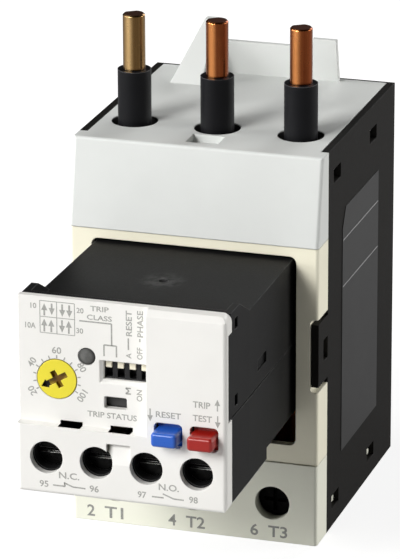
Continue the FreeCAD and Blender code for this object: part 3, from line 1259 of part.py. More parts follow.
def trip_magnet():
    """Plunger on the cross bar, coil round it and the yoke that holds the coil."""
    Piece("trip_plunger", y=bar_middle).pad(
        "Z", bar_top, bar_top + dim.plunger_length, Circle(0, 0, plunger_radius))
    bore = plunger_radius + dim.coil_gap
    coil_low = yoke_low + dim.yoke_wall + dim.seat_gap
    coil_high = yoke_high - dim.yoke_wall - dim.seat_gap
    Piece("trip_coil", y=bar_middle).pad(
        "Z", coil_low, coil_high, Circle(0, 0, coil_radius), Circle(0, 0, bore))
    yoke = Piece("trip_yoke", y=bar_middle)
    side = coil_radius + dim.yoke_room
    yoke.pad("Y", -dim.yoke_depth / 2, dim.yoke_depth / 2,
             rectangle(-side - dim.yoke_wall, side + dim.yoke_wall, yoke_low, yoke_high),
             rectangle(-side, side, yoke_low + dim.yoke_wall, yoke_high - dim.yoke_wall))
    yoke.pocket("Z", yoke_low - dim.overshoot, yoke_low + dim.yoke_wall + dim.overshoot, Circle(0, 0, bore))


def control_board():
    Piece("control_board").pad("Y", board_front, board_back, rectangle(
        dim.board_room - module_inner, module_inner - dim.board_room,
        upper_low + dim.board_foot, upper_ceiling - dim.seat_gap))


def housing():
    base_housing()
    top_cover()
    front_cover()
    terminal_cover()
    for index, (x, terminal) in enumerate(zip(poles, terminals), 1):
        conductor("conductor_%d" % index, x, terminal)
        pin_sleeve("pin_sleeve_%d" % index, x)
        current_transformer(str(index), x)
        terminal_screw("terminal_screw_%d" % index, terminal)
        terminal_cage("terminal_cage_%d" % index, terminal)
    sensor_board()


def control_module():
    module_upper_housing()
    module_lower_housing()
    fascia()
    control_board()
    current_dial()
    dial_potentiometer()
    status_led()
    dip_switch()
    for index, x in enumerate(dip_places, 1):
        dip_slider("dip_slider_%d" % index, x)
    lever("reset_lever", reset_x, reset_x)
    lever("trip_lever", trip_x, trip_stem_x)
    leaf_spring("reset_spring", aux_pitch)
    leaf_spring("trip_spring", module_inner - dim.guide_reach / 2)
    tips = [-aux_pitch, -aux_pitch, aux_pitch, aux_pitch]
    levels = [nc_low, nc_low, strip_low, strip_low]
    for index, x in enumerate(aux_places, 1):
        aux_screw("aux_screw_%d" % index, x)
        aux_cage("aux_cage_%d" % index, x)
        contact_strip("contact_strip_%d" % index, x, tips[index - 1], levels[index - 1])
    trip_carriage()
    trip_flag()
    contact_bridge("nc_bridge", -aux_pitch, nc_low - dim.contact_gap - dim.strip_wall)
    contact_bridge("no_bridge", aux_pitch, bar_low - dim.strip_wall)
    trip_magnet()


def check_and_write():
    """Refuse failed features, cuts that removed nothing and broken solids, then write every piece."""
    for thing in doc.Objects:
        if "Invalid" in thing.State or "Error" in thing.State:
            raise RuntimeError("%s failed: %s" % (thing.Name, thing.State))
        if thing.TypeId == "PartDesign::Pocket":
            if thing.BaseFeature.Shape.Volume - thing.Shape.Volume < 1e-6:
                raise RuntimeError("%s in %s cuts nothing" % (thing.Name, thing.getParent().Label))
    os.makedirs("parts", exist_ok=True)
    for body in pieces:
        shape = body.Shape
        if shape.isNull() or not shape.isValid() or len(shape.Solids) != 1:
            raise RuntimeError("%s is not one sound solid" % body.Label)
        shape.exportStep("parts/%s.step" % body.Label)
    print("%d pieces written" % len(pieces))


housing()
control_module()
doc.recompute()
check_and_write()
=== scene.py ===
import math

import bpy
import numpy as np
from mathutils import Matrix, Vector


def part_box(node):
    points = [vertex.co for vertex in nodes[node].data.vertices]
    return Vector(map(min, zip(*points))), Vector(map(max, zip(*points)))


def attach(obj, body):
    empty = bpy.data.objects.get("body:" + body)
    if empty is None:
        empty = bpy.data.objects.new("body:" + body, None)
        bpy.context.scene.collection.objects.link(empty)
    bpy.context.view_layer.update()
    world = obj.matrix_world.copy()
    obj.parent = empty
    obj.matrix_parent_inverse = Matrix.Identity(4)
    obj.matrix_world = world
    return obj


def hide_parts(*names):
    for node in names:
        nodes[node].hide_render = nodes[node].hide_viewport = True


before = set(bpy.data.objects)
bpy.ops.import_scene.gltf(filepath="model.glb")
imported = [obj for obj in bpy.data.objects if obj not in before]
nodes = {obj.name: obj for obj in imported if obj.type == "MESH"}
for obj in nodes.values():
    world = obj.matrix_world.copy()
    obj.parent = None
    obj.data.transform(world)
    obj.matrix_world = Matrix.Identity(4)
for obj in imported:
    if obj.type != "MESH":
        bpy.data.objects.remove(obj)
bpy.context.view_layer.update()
mm = 0.001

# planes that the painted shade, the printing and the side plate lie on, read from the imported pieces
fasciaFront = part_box("fascia")[0].y
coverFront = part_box("terminal_cover")[0].y
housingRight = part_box("base_housing")[1].x
print("frame loaded:", len(nodes), "pieces")


def middle(node):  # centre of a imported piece
    low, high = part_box(node)
    return (low + high) / 2


def numbered(name, count):  # name_1, name_2 and so on
    return ["%s_%d" % (name, number + 1) for number in range(count)]


def shade(colour, amount):  # a colour made lighter or darker by a factor
    return tuple(min(1.0, channel * amount) for channel in colour)


# shader maths: a socket with operators, each of which adds a Math node
class Sock:
    noiseMean = 0.5

    def __init__(self, finish, socket):
        self.finish = finish
        self.socket = socket

    def maths(self, operation, first, second):
        return self.finish.add("ShaderNodeMath", {"operation": operation}, {0: first, 1: second})

    def __add__(self, other):
        return self.maths("ADD", self, other)

    def __radd__(self, other):
        return self.maths("ADD", other, self)

    def __sub__(self, other):
        return self.maths("SUBTRACT", self, other)

    def __rsub__(self, other):
        return self.maths("SUBTRACT", other, self)

    def __mul__(self, other):
        return self.maths("MULTIPLY", self, other)

    def __rmul__(self, other):
        return self.maths("MULTIPLY", other, self)

    def __pow__(self, other):
        return self.maths("POWER", self, other)

    def between(self, low, high):  # 0 below low, 1 above high, smooth between them
        return self.finish.add("ShaderNodeMapRange", {"interpolation_type": "SMOOTHSTEP"}, {
            "Value": self, "From Min": low, "From Max": high})

    def swing(self, amount):  # a noise about its mean
        return (self - self.noiseMean) * amount


# one material: a Principled shader and the nodes that feed it
class Finish:
    bevelSamples = 4
    edgeTurn = (0.01, 0.22)  # how far the rounded normal turns, from the flat face to the edge
    softEnd = 0.00004

    def __init__(self, name):
        self.material = bpy.data.materials.new(name)
        self.material.use_nodes = True
        self.tree = self.material.node_tree
        self.tree.nodes.clear()
        output = self.tree.nodes.new("ShaderNodeOutputMaterial")
        self.shader = self.tree.nodes.new("ShaderNodeBsdfPrincipled")
        self.tree.links.new(self.shader.outputs[0], output.inputs[0])
        self.place = self.add("ShaderNodeTexCoord", out="Object")

    # any node: its settings first, then the values or links of its sockets
    def add(self, kind, settings=None, inputs=None, out=0):
        node = self.tree.nodes.new(kind)
        for name, value in (settings or {}).items():
            setattr(node, name, value)
        for name, value in (inputs or {}).items():
            self.plug(node.inputs[name], value)
        return Sock(self, node.outputs[out])

    def plug(self, socket, value):
        if isinstance(value, Sock):
            self.tree.links.new(value.socket, socket)
        else:
            socket.default_value = value

    def set(self, **values):
        for name, value in values.items():
            self.plug(self.shader.inputs[name.replace("_", " ")], value)

    def along(self, axis):  # one Object coordinate, in metres
        return self.add("ShaderNodeSeparateXYZ", {}, {0: self.place}, out=axis)

    def within(self, axis, low, high):  # 1 between two Object coordinates
        place = self.along(axis)
        return place.between(low - self.softEnd, low) * (1.0 - place.between(high, high + self.softEnd))

    def away(self, x, other, axis=2):  # distance from a line along the depth, or upright with axis 1
        return ((self.along(0) - x) ** 2.0 + (self.along(axis) - other) ** 2.0) ** 0.5

    def noise(self, scale, detail, roughness, stretch=None):  # stretch squeezes it along chosen axes
        vector = self.place
        if stretch:
            vector = self.add("ShaderNodeMapping", {}, {"Vector": vector, "Scale": stretch})
        return self.add("ShaderNodeTexNoise", {}, {
            "Vector": vector, "Scale": scale, "Detail": detail, "Roughness": roughness})

    # colours through a Mix node, given as sockets or as red, green and blue
    def mix(self, factor, first, second):
        first, second = (
            colour if isinstance(colour, Sock) else (*colour, 1.0) for colour in (first, second))
        settings = {"data_type": "RGBA", "clamp_factor": True}
        colours = {0: factor, 6: first, 7: second}  # the node's colour sockets are 6 and 7, and 2 comes out
        return self.add("ShaderNodeMix", settings, colours, out=2)

    def rounded(self, radius):  # edges that shade as if rounded
        return self.add("ShaderNodeBevel", {"samples": self.bevelSamples}, {"Radius": radius})

    def edges(self, normal):  # 0 on flat faces, rising where the rounded normal leaves the face
        face = self.add("ShaderNodeNewGeometry", out="True Normal")
        along = self.add("ShaderNodeVectorMath", {"operation": "DOT_PRODUCT"}, {0: normal, 1: face}, "Value")
        return (1.0 - along).between(*self.edgeTurn)

    def bump(self, height, depth, normal=None):
        inputs = {"Height": height, "Distance": depth}
        if normal:
            inputs["Normal"] = normal
        return self.add("ShaderNodeBump", {}, inputs)


# moulded plastic: slow mottling from the flow of the melt, spark-eroded grain, worn light edges that on the
# black module and sleeves are raised into painted edge highlights; here and below a noise is its scale,
# detail and roughness
plasticBase = {
    "flow": (55.0, 3.0, 0.55), "dust": (1470.0, 2.0, 0.6), "grain": (4200.0, 1.0, 0.5),
    "flowBand": (0.32, 0.68), "dustBand": (0.62, 0.80), "edgeWearAndHighlightBand": (0.2, 0.7),
    "mottle": 0.018, "speck": 0.10, "speckTone": 0.92, "depth": 0.000012, "edge": 0.00028,
    "edgeWearAndHighlight": 0.25, "edgeWearAndHighlightColour": (0.92, 0.92, 0.90), "roughness": 0.46, "flowGloss": 0.10, "grainGloss": 0.12,
    "sheen": 0.45, "ior": 1.48, "coatRoughness": 0.12}


def mouldedPlastic(name, look):
    finish = Finish(name)
    normal = finish.rounded(look["edge"])
    flow, dust, grain = (finish.noise(*look[key]) for key in ("flow", "dust", "grain"))
    tint, tone = look["colour"], look["mottle"]
    body = finish.mix(flow.between(*look["flowBand"]), shade(tint, 1 - tone), shade(tint, 1 + tone))
    specks = dust.between(*look["dustBand"]) * look["speck"]
    dusted = finish.mix(specks, body, shade(tint, look["speckTone"]))
    # light edges: partly wear, and where it is raised, as on the black module and sleeves, painted highlight
    wornAndLitEdges = finish.edges(normal) * flow.between(*look["edgeWearAndHighlightBand"]) * look["edgeWearAndHighlight"]
    colour = finish.mix(wornAndLitEdges, dusted, look["edgeWearAndHighlightColour"])
    # painted shade and real marks are laid over the colour here
    for paintOver in look.get("paintedShadeAndMarks", []):
        colour = paintOver(finish, colour)
    roughness = look["roughness"] + flow.swing(look["flowGloss"]) + grain.swing(look["grainGloss"])
    finish.set(Base_Color=colour, Roughness=roughness, IOR=look["ior"], Specular_IOR_Level=look["sheen"],
               Normal=finish.bump(grain, look["depth"], normal))
    if look.get("coat"):
        finish.set(Coat_Weight=look["coat"], Coat_Roughness=look["coatRoughness"])
    return finish.material


# drawn bar: painted highlights down the flanks of each bar, fine streaks and a patchy oxide film, and a
# darker top end, where the bar is sawn off, with a painted highlight on its rim; flanks are measured across
# from the bar's axis, the end from its top
barBase = {
    "pitch": 0.0185, "band": 260.0, "streak": 1500.0,  # bars stand a pitch apart
    "bandShape": (2.0, 0.5, (1.0, 1.0, 0.004)), "streakShape": (3.0, 0.6, (1.0, 1.0, 0.012)),
    "filmShape": (4.0, 0.6, (1.0, 1.0, 0.45)), "pits": (2600.0, 2.0, 0.5),
    "highlightRise": (-0.0023, -0.0004), "highlightFall": (-0.0004, 0.0008), "farHighlight": (0.0014, 0.0026),
    "farHighlightShare": 0.12, "highlightShare": 0.82, "bandShare": 0.09, "streakShare": 0.09,
    "bandEdge": (0.36, 0.62), "streakEdge": (0.25, 0.75), "filmEdge": (0.42, 0.75), "dullEdge": (0.4, 0.8),
    "roughness": 0.25, "filmGloss": 0.10, "streakGloss": 0.08, "tarnish": 0.30,
    "depth": 0.000012, "streakDepth": 0.7, "pitDepth": 0.3, "edge": 0.00022,
    "sawnEdge": (-0.00008, -0.00002), "rimEdge": (-0.0006, -0.0003), "rimShare": 0.6, "sawnGloss": 0.3}


def drawnBar(name, look):
    finish = Finish(name)
    normal = finish.rounded(look["edge"])
    band, streak, film = (finish.noise(look[key], *look[key + "Shape"]) for key in ("band", "streak", "film"))
    pits = finish.noise(*look["pits"])
    half = look["pitch"] / 2
    across = finish.add("ShaderNodeMath", {"operation": "WRAP"}, {0: finish.along(0), 1: half, 2: -half})
    # painted highlight: a bright band down the near flank and a fainter one on the far flank, the same across
    # every bar
    nearHighlight = across.between(*look["highlightRise"]) * (1.0 - across.between(*look["highlightFall"]))
    paintedHighlight = nearHighlight + across.between(*look["farHighlight"]) * look["farHighlightShare"]
    bands = band.between(*look["bandEdge"]) * look["bandShare"]
    streaks = streak.between(*look["streakEdge"]) * look["streakShare"]
    metal = finish.mix(paintedHighlight * look["highlightShare"] + bands + streaks, look["dark"], look["light"])
    colour = finish.mix(film.between(*look["filmEdge"]) * look["tarnish"], metal, look["oxide"])
    dulled = film.between(*look["dullEdge"]) * look["filmGloss"]
    roughness = look["roughness"] + dulled + streak.swing(look["streakGloss"])
    if look.get("sawnAt"):
        height = finish.along(2) - look["sawnAt"]
        darkEnd = height.between(*look["sawnEdge"])
        # painted highlight along the rim of the top end; the end itself is coloured darker
        paintedRim = finish.edges(normal) * height.between(*look["rimEdge"])
        colour = finish.mix(paintedRim * look["rimShare"], colour, look["light"])
        colour = finish.mix(darkEnd, colour, look["darkEnd"])
        roughness = roughness + darkEnd * look["sawnGloss"]
    relief = streak * look["streakDepth"] + pits * look["pitDepth"]
    finish.set(Base_Color=colour, Metallic=1.0, Roughness=roughness,
               Normal=finish.bump(relief, look["depth"], normal))
    return finish.material


# plated steel: soft cloudy zinc with fine scratches; a bright rim on the edges, where given, is a painted
# glint
steelBase = {
    "cloudShape": (4.0, 0.6), "scratchShape": (2.0, 0.7, (1.0, 0.08, 1.0)), "cloudEdge": (0.3, 0.7),
    "cloudGloss": 0.2, "scratchGloss": 0.1, "depth": 0.000010, "edge": 0.00015}


def platedSteel(name, look):
    finish = Finish(name)
    normal = finish.rounded(look["edge"])
    cloud, scratch = (finish.noise(look[key], *look[key + "Shape"]) for key in ("cloud", "scratch"))
    colour = finish.mix(cloud.between(*look["cloudEdge"]), look["dark"], look["light"])
    # painted glint: bright metal on the screw's edges
    if look.get("paintedRim"):
        colour = finish.mix(finish.edges(normal), colour, look["paintedRim"])
    roughness = look["roughness"] + cloud.swing(look["cloudGloss"]) + scratch.swing(look["scratchGloss"])
    finish.set(Base_Color=colour, Metallic=1.0, Roughness=roughness,
               Normal=finish.bump(scratch, look["depth"], normal))
    return finish.material


# wound coil: round wires lie side by side, with painted shade in the grooves between the turns
windings = {
    "windingCopper": {
        "turns": {"Scale": 750.0, "Distortion": 0.6, "Detail": 1.0}, "turnEdge": (0.15, 0.5), "grooveShade": 0.25,
        "tint": (600.0, 2.0, 0.5), "tintEdge": (0.3, 0.7), "tintGloss": 0.1,
        "dark": (0.30, 0.105, 0.035), "light": (0.55, 0.22, 0.085),
        "roughness": 0.30, "coat": 0.3, "depth": 0.00008,
        "nodes": numbered("ct_winding", 3) + ["trip_coil"]},
}


def woundWire(name, look):
    finish = Finish(name)
    bands = {"wave_type": "BANDS", "bands_direction": "Z"}
    turns = finish.add("ShaderNodeTexWave", bands, {"Vector": finish.place, **look["turns"]})
    tint = finish.noise(*look["tint"])
    wire = finish.mix(tint.between(*look["tintEdge"]), look["dark"], look["light"])
    colour = finish.mix(turns.between(*look["turnEdge"]), shade(look["dark"], look["grooveShade"]), wire)
    finish.set(Base_Color=colour, Roughness=look["roughness"] + tint.swing(look["tintGloss"]),
               Coat_Weight=look["coat"], Normal=finish.bump(turns, look["depth"]))
    return finish.material


# circuit board: solder mask over woven glass, with paler traces under it
boards = {
    "boardGreen": {
        "weave": 1800.0, "weaveShare": 0.25, "weaveTone": 0.7, "weaveDepth": 0.1, "traceOffset": 0.5,
        "traces": {"Scale": 260.0, "Mortar Size": 0.03, "Mortar Smooth": 0.1}, "traceShare": 0.6,
        "mask": (0.012, 0.085, 0.035), "trace": (0.04, 0.20, 0.08), "cloud": (200.0, 2.0, 0.5),
        "roughness": 0.35, "cloudGloss": 0.15, "depth": 0.00002, "edge": 0.0001,
        "nodes": ["sensor_board", "control_board"]},
}


def circuitBoard(name, look):
    finish = Finish(name)
    normal = finish.rounded(look["edge"])
    squares = {"Vector": finish.place, "Scale": look["weave"]}
    weave = finish.add("ShaderNodeTexChecker", {}, squares, out="Fac")
    upright = finish.add("ShaderNodeMapping", {}, {
        "Vector": finish.place, "Rotation": (math.pi / 2, 0.0, 0.0)})
    traces = finish.add("ShaderNodeTexBrick", {"offset": look["traceOffset"]}, {
        "Vector": upright, **look["traces"]}, out="Fac")
    mask = finish.mix(weave * look["weaveShare"], look["mask"], shade(look["mask"], look["weaveTone"]))
    colour = finish.mix(traces * look["traceShare"], mask, look["trace"])
    cloud = finish.noise(*look["cloud"])
    finish.set(Base_Color=colour, Roughness=look["roughness"] + cloud.swing(look["cloudGloss"]),
               Normal=finish.bump(traces + weave * look["weaveDepth"], look["depth"], normal))
    return finish.material


# painted shade and ink on the plastics end softly, over this length or twice as much
softEdge = 0.00005

# dial: what lies behind its face is the slot, coloured with painted shade that is darkest at the middle and
# lighter towards its ends, and the slot's far end is inked as an arrowhead
dialInk = {"behind": 0.00012, "turn": 210.0, "arrowFrom": 0.0023, "fade": (0.0004, 0.0027),
           "shade": (0.15, 0.068, 0.003), "ends": (0.40, 0.27, 0.010), "ink": (0.006, 0.005, 0.004)}


def dialShadeAndInk(finish, colour):
    axis = middle("current_dial")
    ends = finish.away(axis.x, axis.z).between(*dialInk["fade"])
    floor = finish.mix(ends, dialInk["shade"], dialInk["ends"])
    turn = math.radians(dialInk["turn"])
    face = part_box("current_dial")[0].y + dialInk["behind"]
    slot = finish.along(1).between(face, face + 2 * softEdge)
    towards = (finish.along(0) - axis.x) * math.cos(turn) + (finish.along(2) - axis.z) * math.sin(turn)
    arrow = towards.between(dialInk["arrowFrom"] - softEdge, dialInk["arrowFrom"] + softEdge)
    return finish.mix(slot * arrow, finish.mix(slot, colour, floor), dialInk["ink"])


# screw holes: painted shade darkens the wall with depth; the screws that stand in the holes give their places
holes = {
    "fascia": {"screws": numbered("aux_screw", 4), "radius": 0.0034, "front": fasciaFront, "depth": 0.0016,
               "dark": (0.020, 0.020, 0.018)},
    "cover": {"screws": numbered("terminal_screw", 3), "radius": 0.0041, "front": coverFront, "depth": 0.0042,
              "dark": (0.014, 0.014, 0.010)},
}


def paintedHoleShade(hole):
    def paintOver(finish, colour):
        inside = 0.0
        for screw in hole["screws"]:
            axis = middle(screw)
            away = finish.away(axis.x, axis.z)
            inside = (1.0 - away.between(hole["radius"], hole["radius"] + softEdge)) + inside
        deep = finish.along(1).between(hole["front"], hole["front"] + hole["depth"])
        return finish.mix(inside * deep, colour, hole["dark"])
    return paintOver


# slots in the ledge: painted shade darkens their walls; places in millimetres
ledgeSlots = {"centres": (-11.3, -0.55), "half": 2.36, "low": 38.2, "high": 41.55, "lip": 0.42,
              "dark": (0.012, 0.012, 0.011)}


def paintedSlotShade(finish, colour):
    lip = fasciaFront + ledgeSlots["lip"] * mm
    deep = finish.along(1).between(lip, lip + 2 * softEdge)
    level = finish.within(2, ledgeSlots["low"] * mm, ledgeSlots["high"] * mm)
    for centre in ledgeSlots["centres"]:
        across = finish.within(0, (centre - ledgeSlots["half"]) * mm, (centre + ledgeSlots["half"]) * mm)
        colour = finish.mix(across * level * deep, colour, ledgeSlots["dark"])
    return colour


# scoop between the holes: painted shade along its deep left side, fading to the right; places in millimetres
scoop = {"left": -3.12, "fades": -1.7, "right": 2.1, "low": 33.3, "high": 37.9, "lip": 0.04, "deep": 0.7,
         "dark": (0.13, 0.13, 0.105)}


def paintedScoopShade(finish, colour):
    behind = finish.along(1).between(fasciaFront + scoop["lip"] * mm, fasciaFront + scoop["deep"] * mm)
    level = finish.within(2, scoop["low"] * mm, scoop["high"] * mm)
    fading = 1.0 - finish.along(0).between(scoop["left"] * mm, scoop["fades"] * mm)
    side = finish.within(0, scoop["left"] * mm, scoop["right"] * mm) * fading
    return finish.mix(behind * level * side, colour, scoop["dark"])


# wells round the sleeves: painted shade darkens their walls under the lid, which the sleeves rise above
wells = {"sleeves": numbered("pin_sleeve", 3), "radius": 0.0053, "sleeveRise": 0.0116, "fade": 0.0004,
         "dark": (0.022, 0.022, 0.020)}


def paintedWellShade(finish, colour):
    for sleeve in wells["sleeves"]:
        axis = middle(sleeve)
        away = finish.away(axis.x, axis.y, 1)
        inside = 1.0 - away.between(wells["radius"], wells["radius"] + softEdge)
        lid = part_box(sleeve)[1].z - wells["sleeveRise"]
        below = 1.0 - finish.along(2).between(lid - wells["fade"], lid - softEdge)
        colour = finish.mix(inside * below, colour, wells["dark"])
    return colour


# pale flow mark round the module's gate, which lies this far before the middle sleeve
gateMark = {"before": 0.0377, "inner": 0.0006, "outer": 0.0062, "fadeFrom": 0.006, "fadeTo": 0.004,
            "pale": (0.062, 0.062, 0.062), "cloud": (420.0, 3.0, 0.6), "cloudEdge": (0.35, 0.65)}


def paleGate(finish, colour):
    sleeve = middle("pin_sleeve_2")
    away = finish.away(sleeve.x, sleeve.y - gateMark["before"], 1)
    near = 1.0 - away.between(gateMark["inner"], gateMark["outer"])
    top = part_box("module_upper_housing")[1].z
    upper = finish.along(2).between(top - gateMark["fadeFrom"], top - gateMark["fadeTo"])
    cloud = finish.noise(*gateMark["cloud"]).between(*gateMark["cloudEdge"])
    return finish.mix(near * upper * cloud, colour, gateMark["pale"])


plastics = {
    "coverGrey": dict(plasticBase, colour=(0.70, 0.718, 0.70), paintedShadeAndMarks=[paintedWellShade], nodes=["top_cover"]),
    "coverCream": dict(plasticBase, colour=(0.94, 0.905, 0.73), nodes=["front_cover"]),
    "coverWarmGrey": dict(plasticBase, colour=(0.89, 0.893, 0.77), paintedShadeAndMarks=[paintedHoleShade(holes["cover"])],
                          nodes=["terminal_cover"]),
    "fasciaWhite": dict(plasticBase, colour=(0.825, 0.815, 0.785), roughness=0.40,
                        paintedShadeAndMarks=[paintedHoleShade(holes["fascia"]), paintedSlotShade, paintedScoopShade], nodes=["fascia"]),
    "housingBlack": dict(plasticBase, colour=(0.0112, 0.0104, 0.0095), sheen=0.06, roughness=0.55,
                         mottle=0.10, speck=0.35, speckTone=1.9, depth=0.000022, edgeWearAndHighlight=0.22,
                         edgeWearAndHighlightColour=(0.07, 0.066, 0.062), nodes=["base_housing"]),
    # painted highlight: the raised edge wear lights up the module's edges
    "moduleBlack": dict(plasticBase, colour=(0.0088, 0.0088, 0.0092), sheen=0.10, roughness=0.50,
                        mottle=0.08, speck=0.30, speckTone=1.7, depth=0.000018, edgeWearAndHighlight=1.1,
                        edgeWearAndHighlightColour=(0.11, 0.11, 0.11), paintedShadeAndMarks=[paleGate],
                        nodes=["module_upper_housing", "module_lower_housing"]),
    # painted highlight: the raised edge wear lights up the sleeves' rims
    "sleeveBlack": dict(plasticBase, colour=(0.0085, 0.0086, 0.0100), sheen=0.12, roughness=0.45,
                        mottle=0.12, speck=0.3, speckTone=2.2, edgeWearAndHighlight=1.6, edgeWearAndHighlightColour=(0.17, 0.17, 0.18),
                        nodes=numbered("pin_sleeve", 3)),
    "dialYellow": dict(plasticBase, colour=(0.80, 0.69, 0.040), roughness=0.40, mottle=0.03, coat=0.1,
                       edgeWearAndHighlightColour=(0.90, 0.84, 0.35), paintedShadeAndMarks=[dialShadeAndInk], nodes=["current_dial"]),
    "leverBlue": dict(plasticBase, colour=(0.018, 0.104, 0.50), roughness=0.30, mottle=0.05, coat=0.35,
                      edge=0.0002, edgeWearAndHighlightColour=(0.16, 0.29, 0.70), depth=0.000006, nodes=["reset_lever"]),
    "leverRed": dict(plasticBase, colour=(0.33, 0.010, 0.006), roughness=0.30, mottle=0.05, coat=0.35,
                     edge=0.0002, edgeWearAndHighlightColour=(0.62, 0.15, 0.11), depth=0.000006, nodes=["trip_lever"]),
    "switchBlack": dict(plasticBase, colour=(0.010, 0.010, 0.011), roughness=0.42, mottle=0.1,
                        speckTone=2.0, edgeWearAndHighlightColour=(0.08, 0.08, 0.08),
                        nodes=["dip_switch", "dial_potentiometer", "board_connector"]),
    "sliderCream": dict(plasticBase, colour=(0.83, 0.78, 0.62), roughness=0.36,
                        nodes=numbered("dip_slider", 4)),
    "flagDark": dict(plasticBase, colour=(0.040, 0.040, 0.040), roughness=0.45, mottle=0.06, speckTone=1.5,
                     edgeWearAndHighlightColour=(0.2, 0.2, 0.2), nodes=["trip_flag"]),
    "carriageIvory": dict(plasticBase, colour=(0.66, 0.60, 0.46), nodes=["trip_carriage"]),
}

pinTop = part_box("conductor_2")[1].z
metals = {
    "pinBrass": dict(barBase, film=190.0, dark=(0.13, 0.060, 0.014), light=(0.86, 0.57, 0.26),
                     oxide=(0.10, 0.055, 0.02), sawnAt=pinTop, darkEnd=(0.075, 0.026, 0.012),
                     nodes=["conductor_1"]),
    "pinCopper": dict(barBase, film=170.0, dark=(0.17, 0.024, 0.006), light=(0.95, 0.38, 0.125),
                      oxide=(0.12, 0.026, 0.010), sawnAt=pinTop, darkEnd=(0.095, 0.028, 0.012),
                      nodes=["conductor_2", "conductor_3"]),
    "contactBrass": dict(barBase, pitch=0.0107, band=300.0, streak=900.0, film=260.0, roughness=0.28,
                         depth=0.000008, edge=0.0001, dark=(0.55, 0.40, 0.18), light=(0.80, 0.64, 0.34),
                         oxide=(0.34, 0.22, 0.09),
                         nodes=["nc_bridge", "no_bridge"] + numbered("contact_strip", 4)),
}

steels = {
    # aux screws: black, with a painted glint of bright metal on their edges
    "screwBlack": dict(steelBase, cloud=420.0, scratch=2400.0, depth=0.000008, edge=0.00020, roughness=0.30,
                       dark=(0.008, 0.008, 0.008), light=(0.020, 0.020, 0.020), paintedRim=(0.75, 0.75, 0.73),
                       nodes=numbered("aux_screw", 4)),
    # painted shade: the screws in the cover's holes are near black for the shade deep in the holes
    "screwShadedBlack": dict(steelBase, cloud=420.0, scratch=2400.0, depth=0.000008, edge=0.00020, roughness=0.55,
                      dark=(0.003, 0.003, 0.003), light=(0.007, 0.007, 0.007),
                      nodes=numbered("terminal_screw", 3)),
    "cageSteel": dict(steelBase, cloud=300.0, scratch=1500.0, roughness=0.36,
                      dark=(0.46, 0.45, 0.40), light=(0.68, 0.67, 0.62),
                      nodes=numbered("terminal_cage", 3) + numbered("aux_cage", 4)
                      + ["reset_spring", "trip_spring"]),
    "magnetSteel": dict(steelBase, cloud=300.0, scratch=1800.0, roughness=0.40,
                        dark=(0.22, 0.22, 0.22), light=(0.44, 0.44, 0.44),
                        nodes=["trip_yoke", "trip_plunger"] + numbered("ct_core", 3)),
}


def dressNodes(makers):
    for maker, looks in makers:
        for name, look in looks.items():
            material = maker(name, look)
            for node in look["nodes"]:
                nodes[node].data.materials.clear()
                nodes[node].data.materials.append(material)


dressNodes([(mouldedPlastic, plastics), (drawnBar, metals), (platedSteel, steels),
            (woundWire, windings), (circuitBoard, boards)])
print("materials on the packed pieces")


# a mesh object from vertices and faces, at the origin, riding on a body
def addPiece(name, vertices, faces, material, body="housing", smooth=False):
    mesh = bpy.data.meshes.new(name)
    mesh.from_pydata(np.asarray(vertices, float).tolist(), [], faces)
    mesh.materials.append(material)
    if smooth:
        mesh.polygons.foreach_set("use_smooth", np.ones(len(mesh.polygons), bool))
    mesh.validate()
    piece = bpy.data.objects.new(name, mesh)
    bpy.context.scene.collection.objects.link(piece)
    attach(piece, body)
    return piece


# printing: film in metres, line and recess in millimetres, bolder and depth in the font's own units, an
# arrowhead's half width as a share of its length, and the turn of words that read upwards in degrees
printing = {"film": 0.00002, "line": 0.30, "bolder": 0.016, "curveSteps": 3, "letterDepth": 0.5,
            "headSpread": 0.45, "upwards": 90.0, "panelRecess": 2.3}
panelPlane = fasciaFront + printing["panelRecess"] * mm

inkBase = {"cover": (2600.0, 3.0, 0.6), "coverEdge": (0.3, 0.75), "coverGloss": 0.1, "roughness": 0.55}
inks = {
    "inkGrey": dict(inkBase, thin=(0.42, 0.42, 0.395), full=(0.29, 0.29, 0.27)),
    "inkDark": dict(inkBase, thin=(0.34, 0.34, 0.315), full=(0.24, 0.24, 0.22)),
    "inkPale": dict(inkBase, thin=(0.30, 0.30, 0.31), full=(0.42, 0.42, 0.43), roughness=0.5),
}


# printing ink: slightly uneven cover over a matt film
def printedInk(name):
    look = inks[name]
    finish = Finish(name)
    cover = finish.noise(*look["cover"])
    colour = finish.mix(cover.between(*look["coverEdge"]), look["thin"], look["full"])
    finish.set(Base_Color=colour, Roughness=look["roughness"] + cover.swing(look["coverGloss"]))
    return finish.material


inkGrey, inkDark, inkPale = (printedInk(name) for name in inks)


def strokeAxes(start, end):  # unit vectors along a stroke and to its left
    along = (end - start) / np.linalg.norm(end - start)
    return along, np.array([-along[1], along[0]])


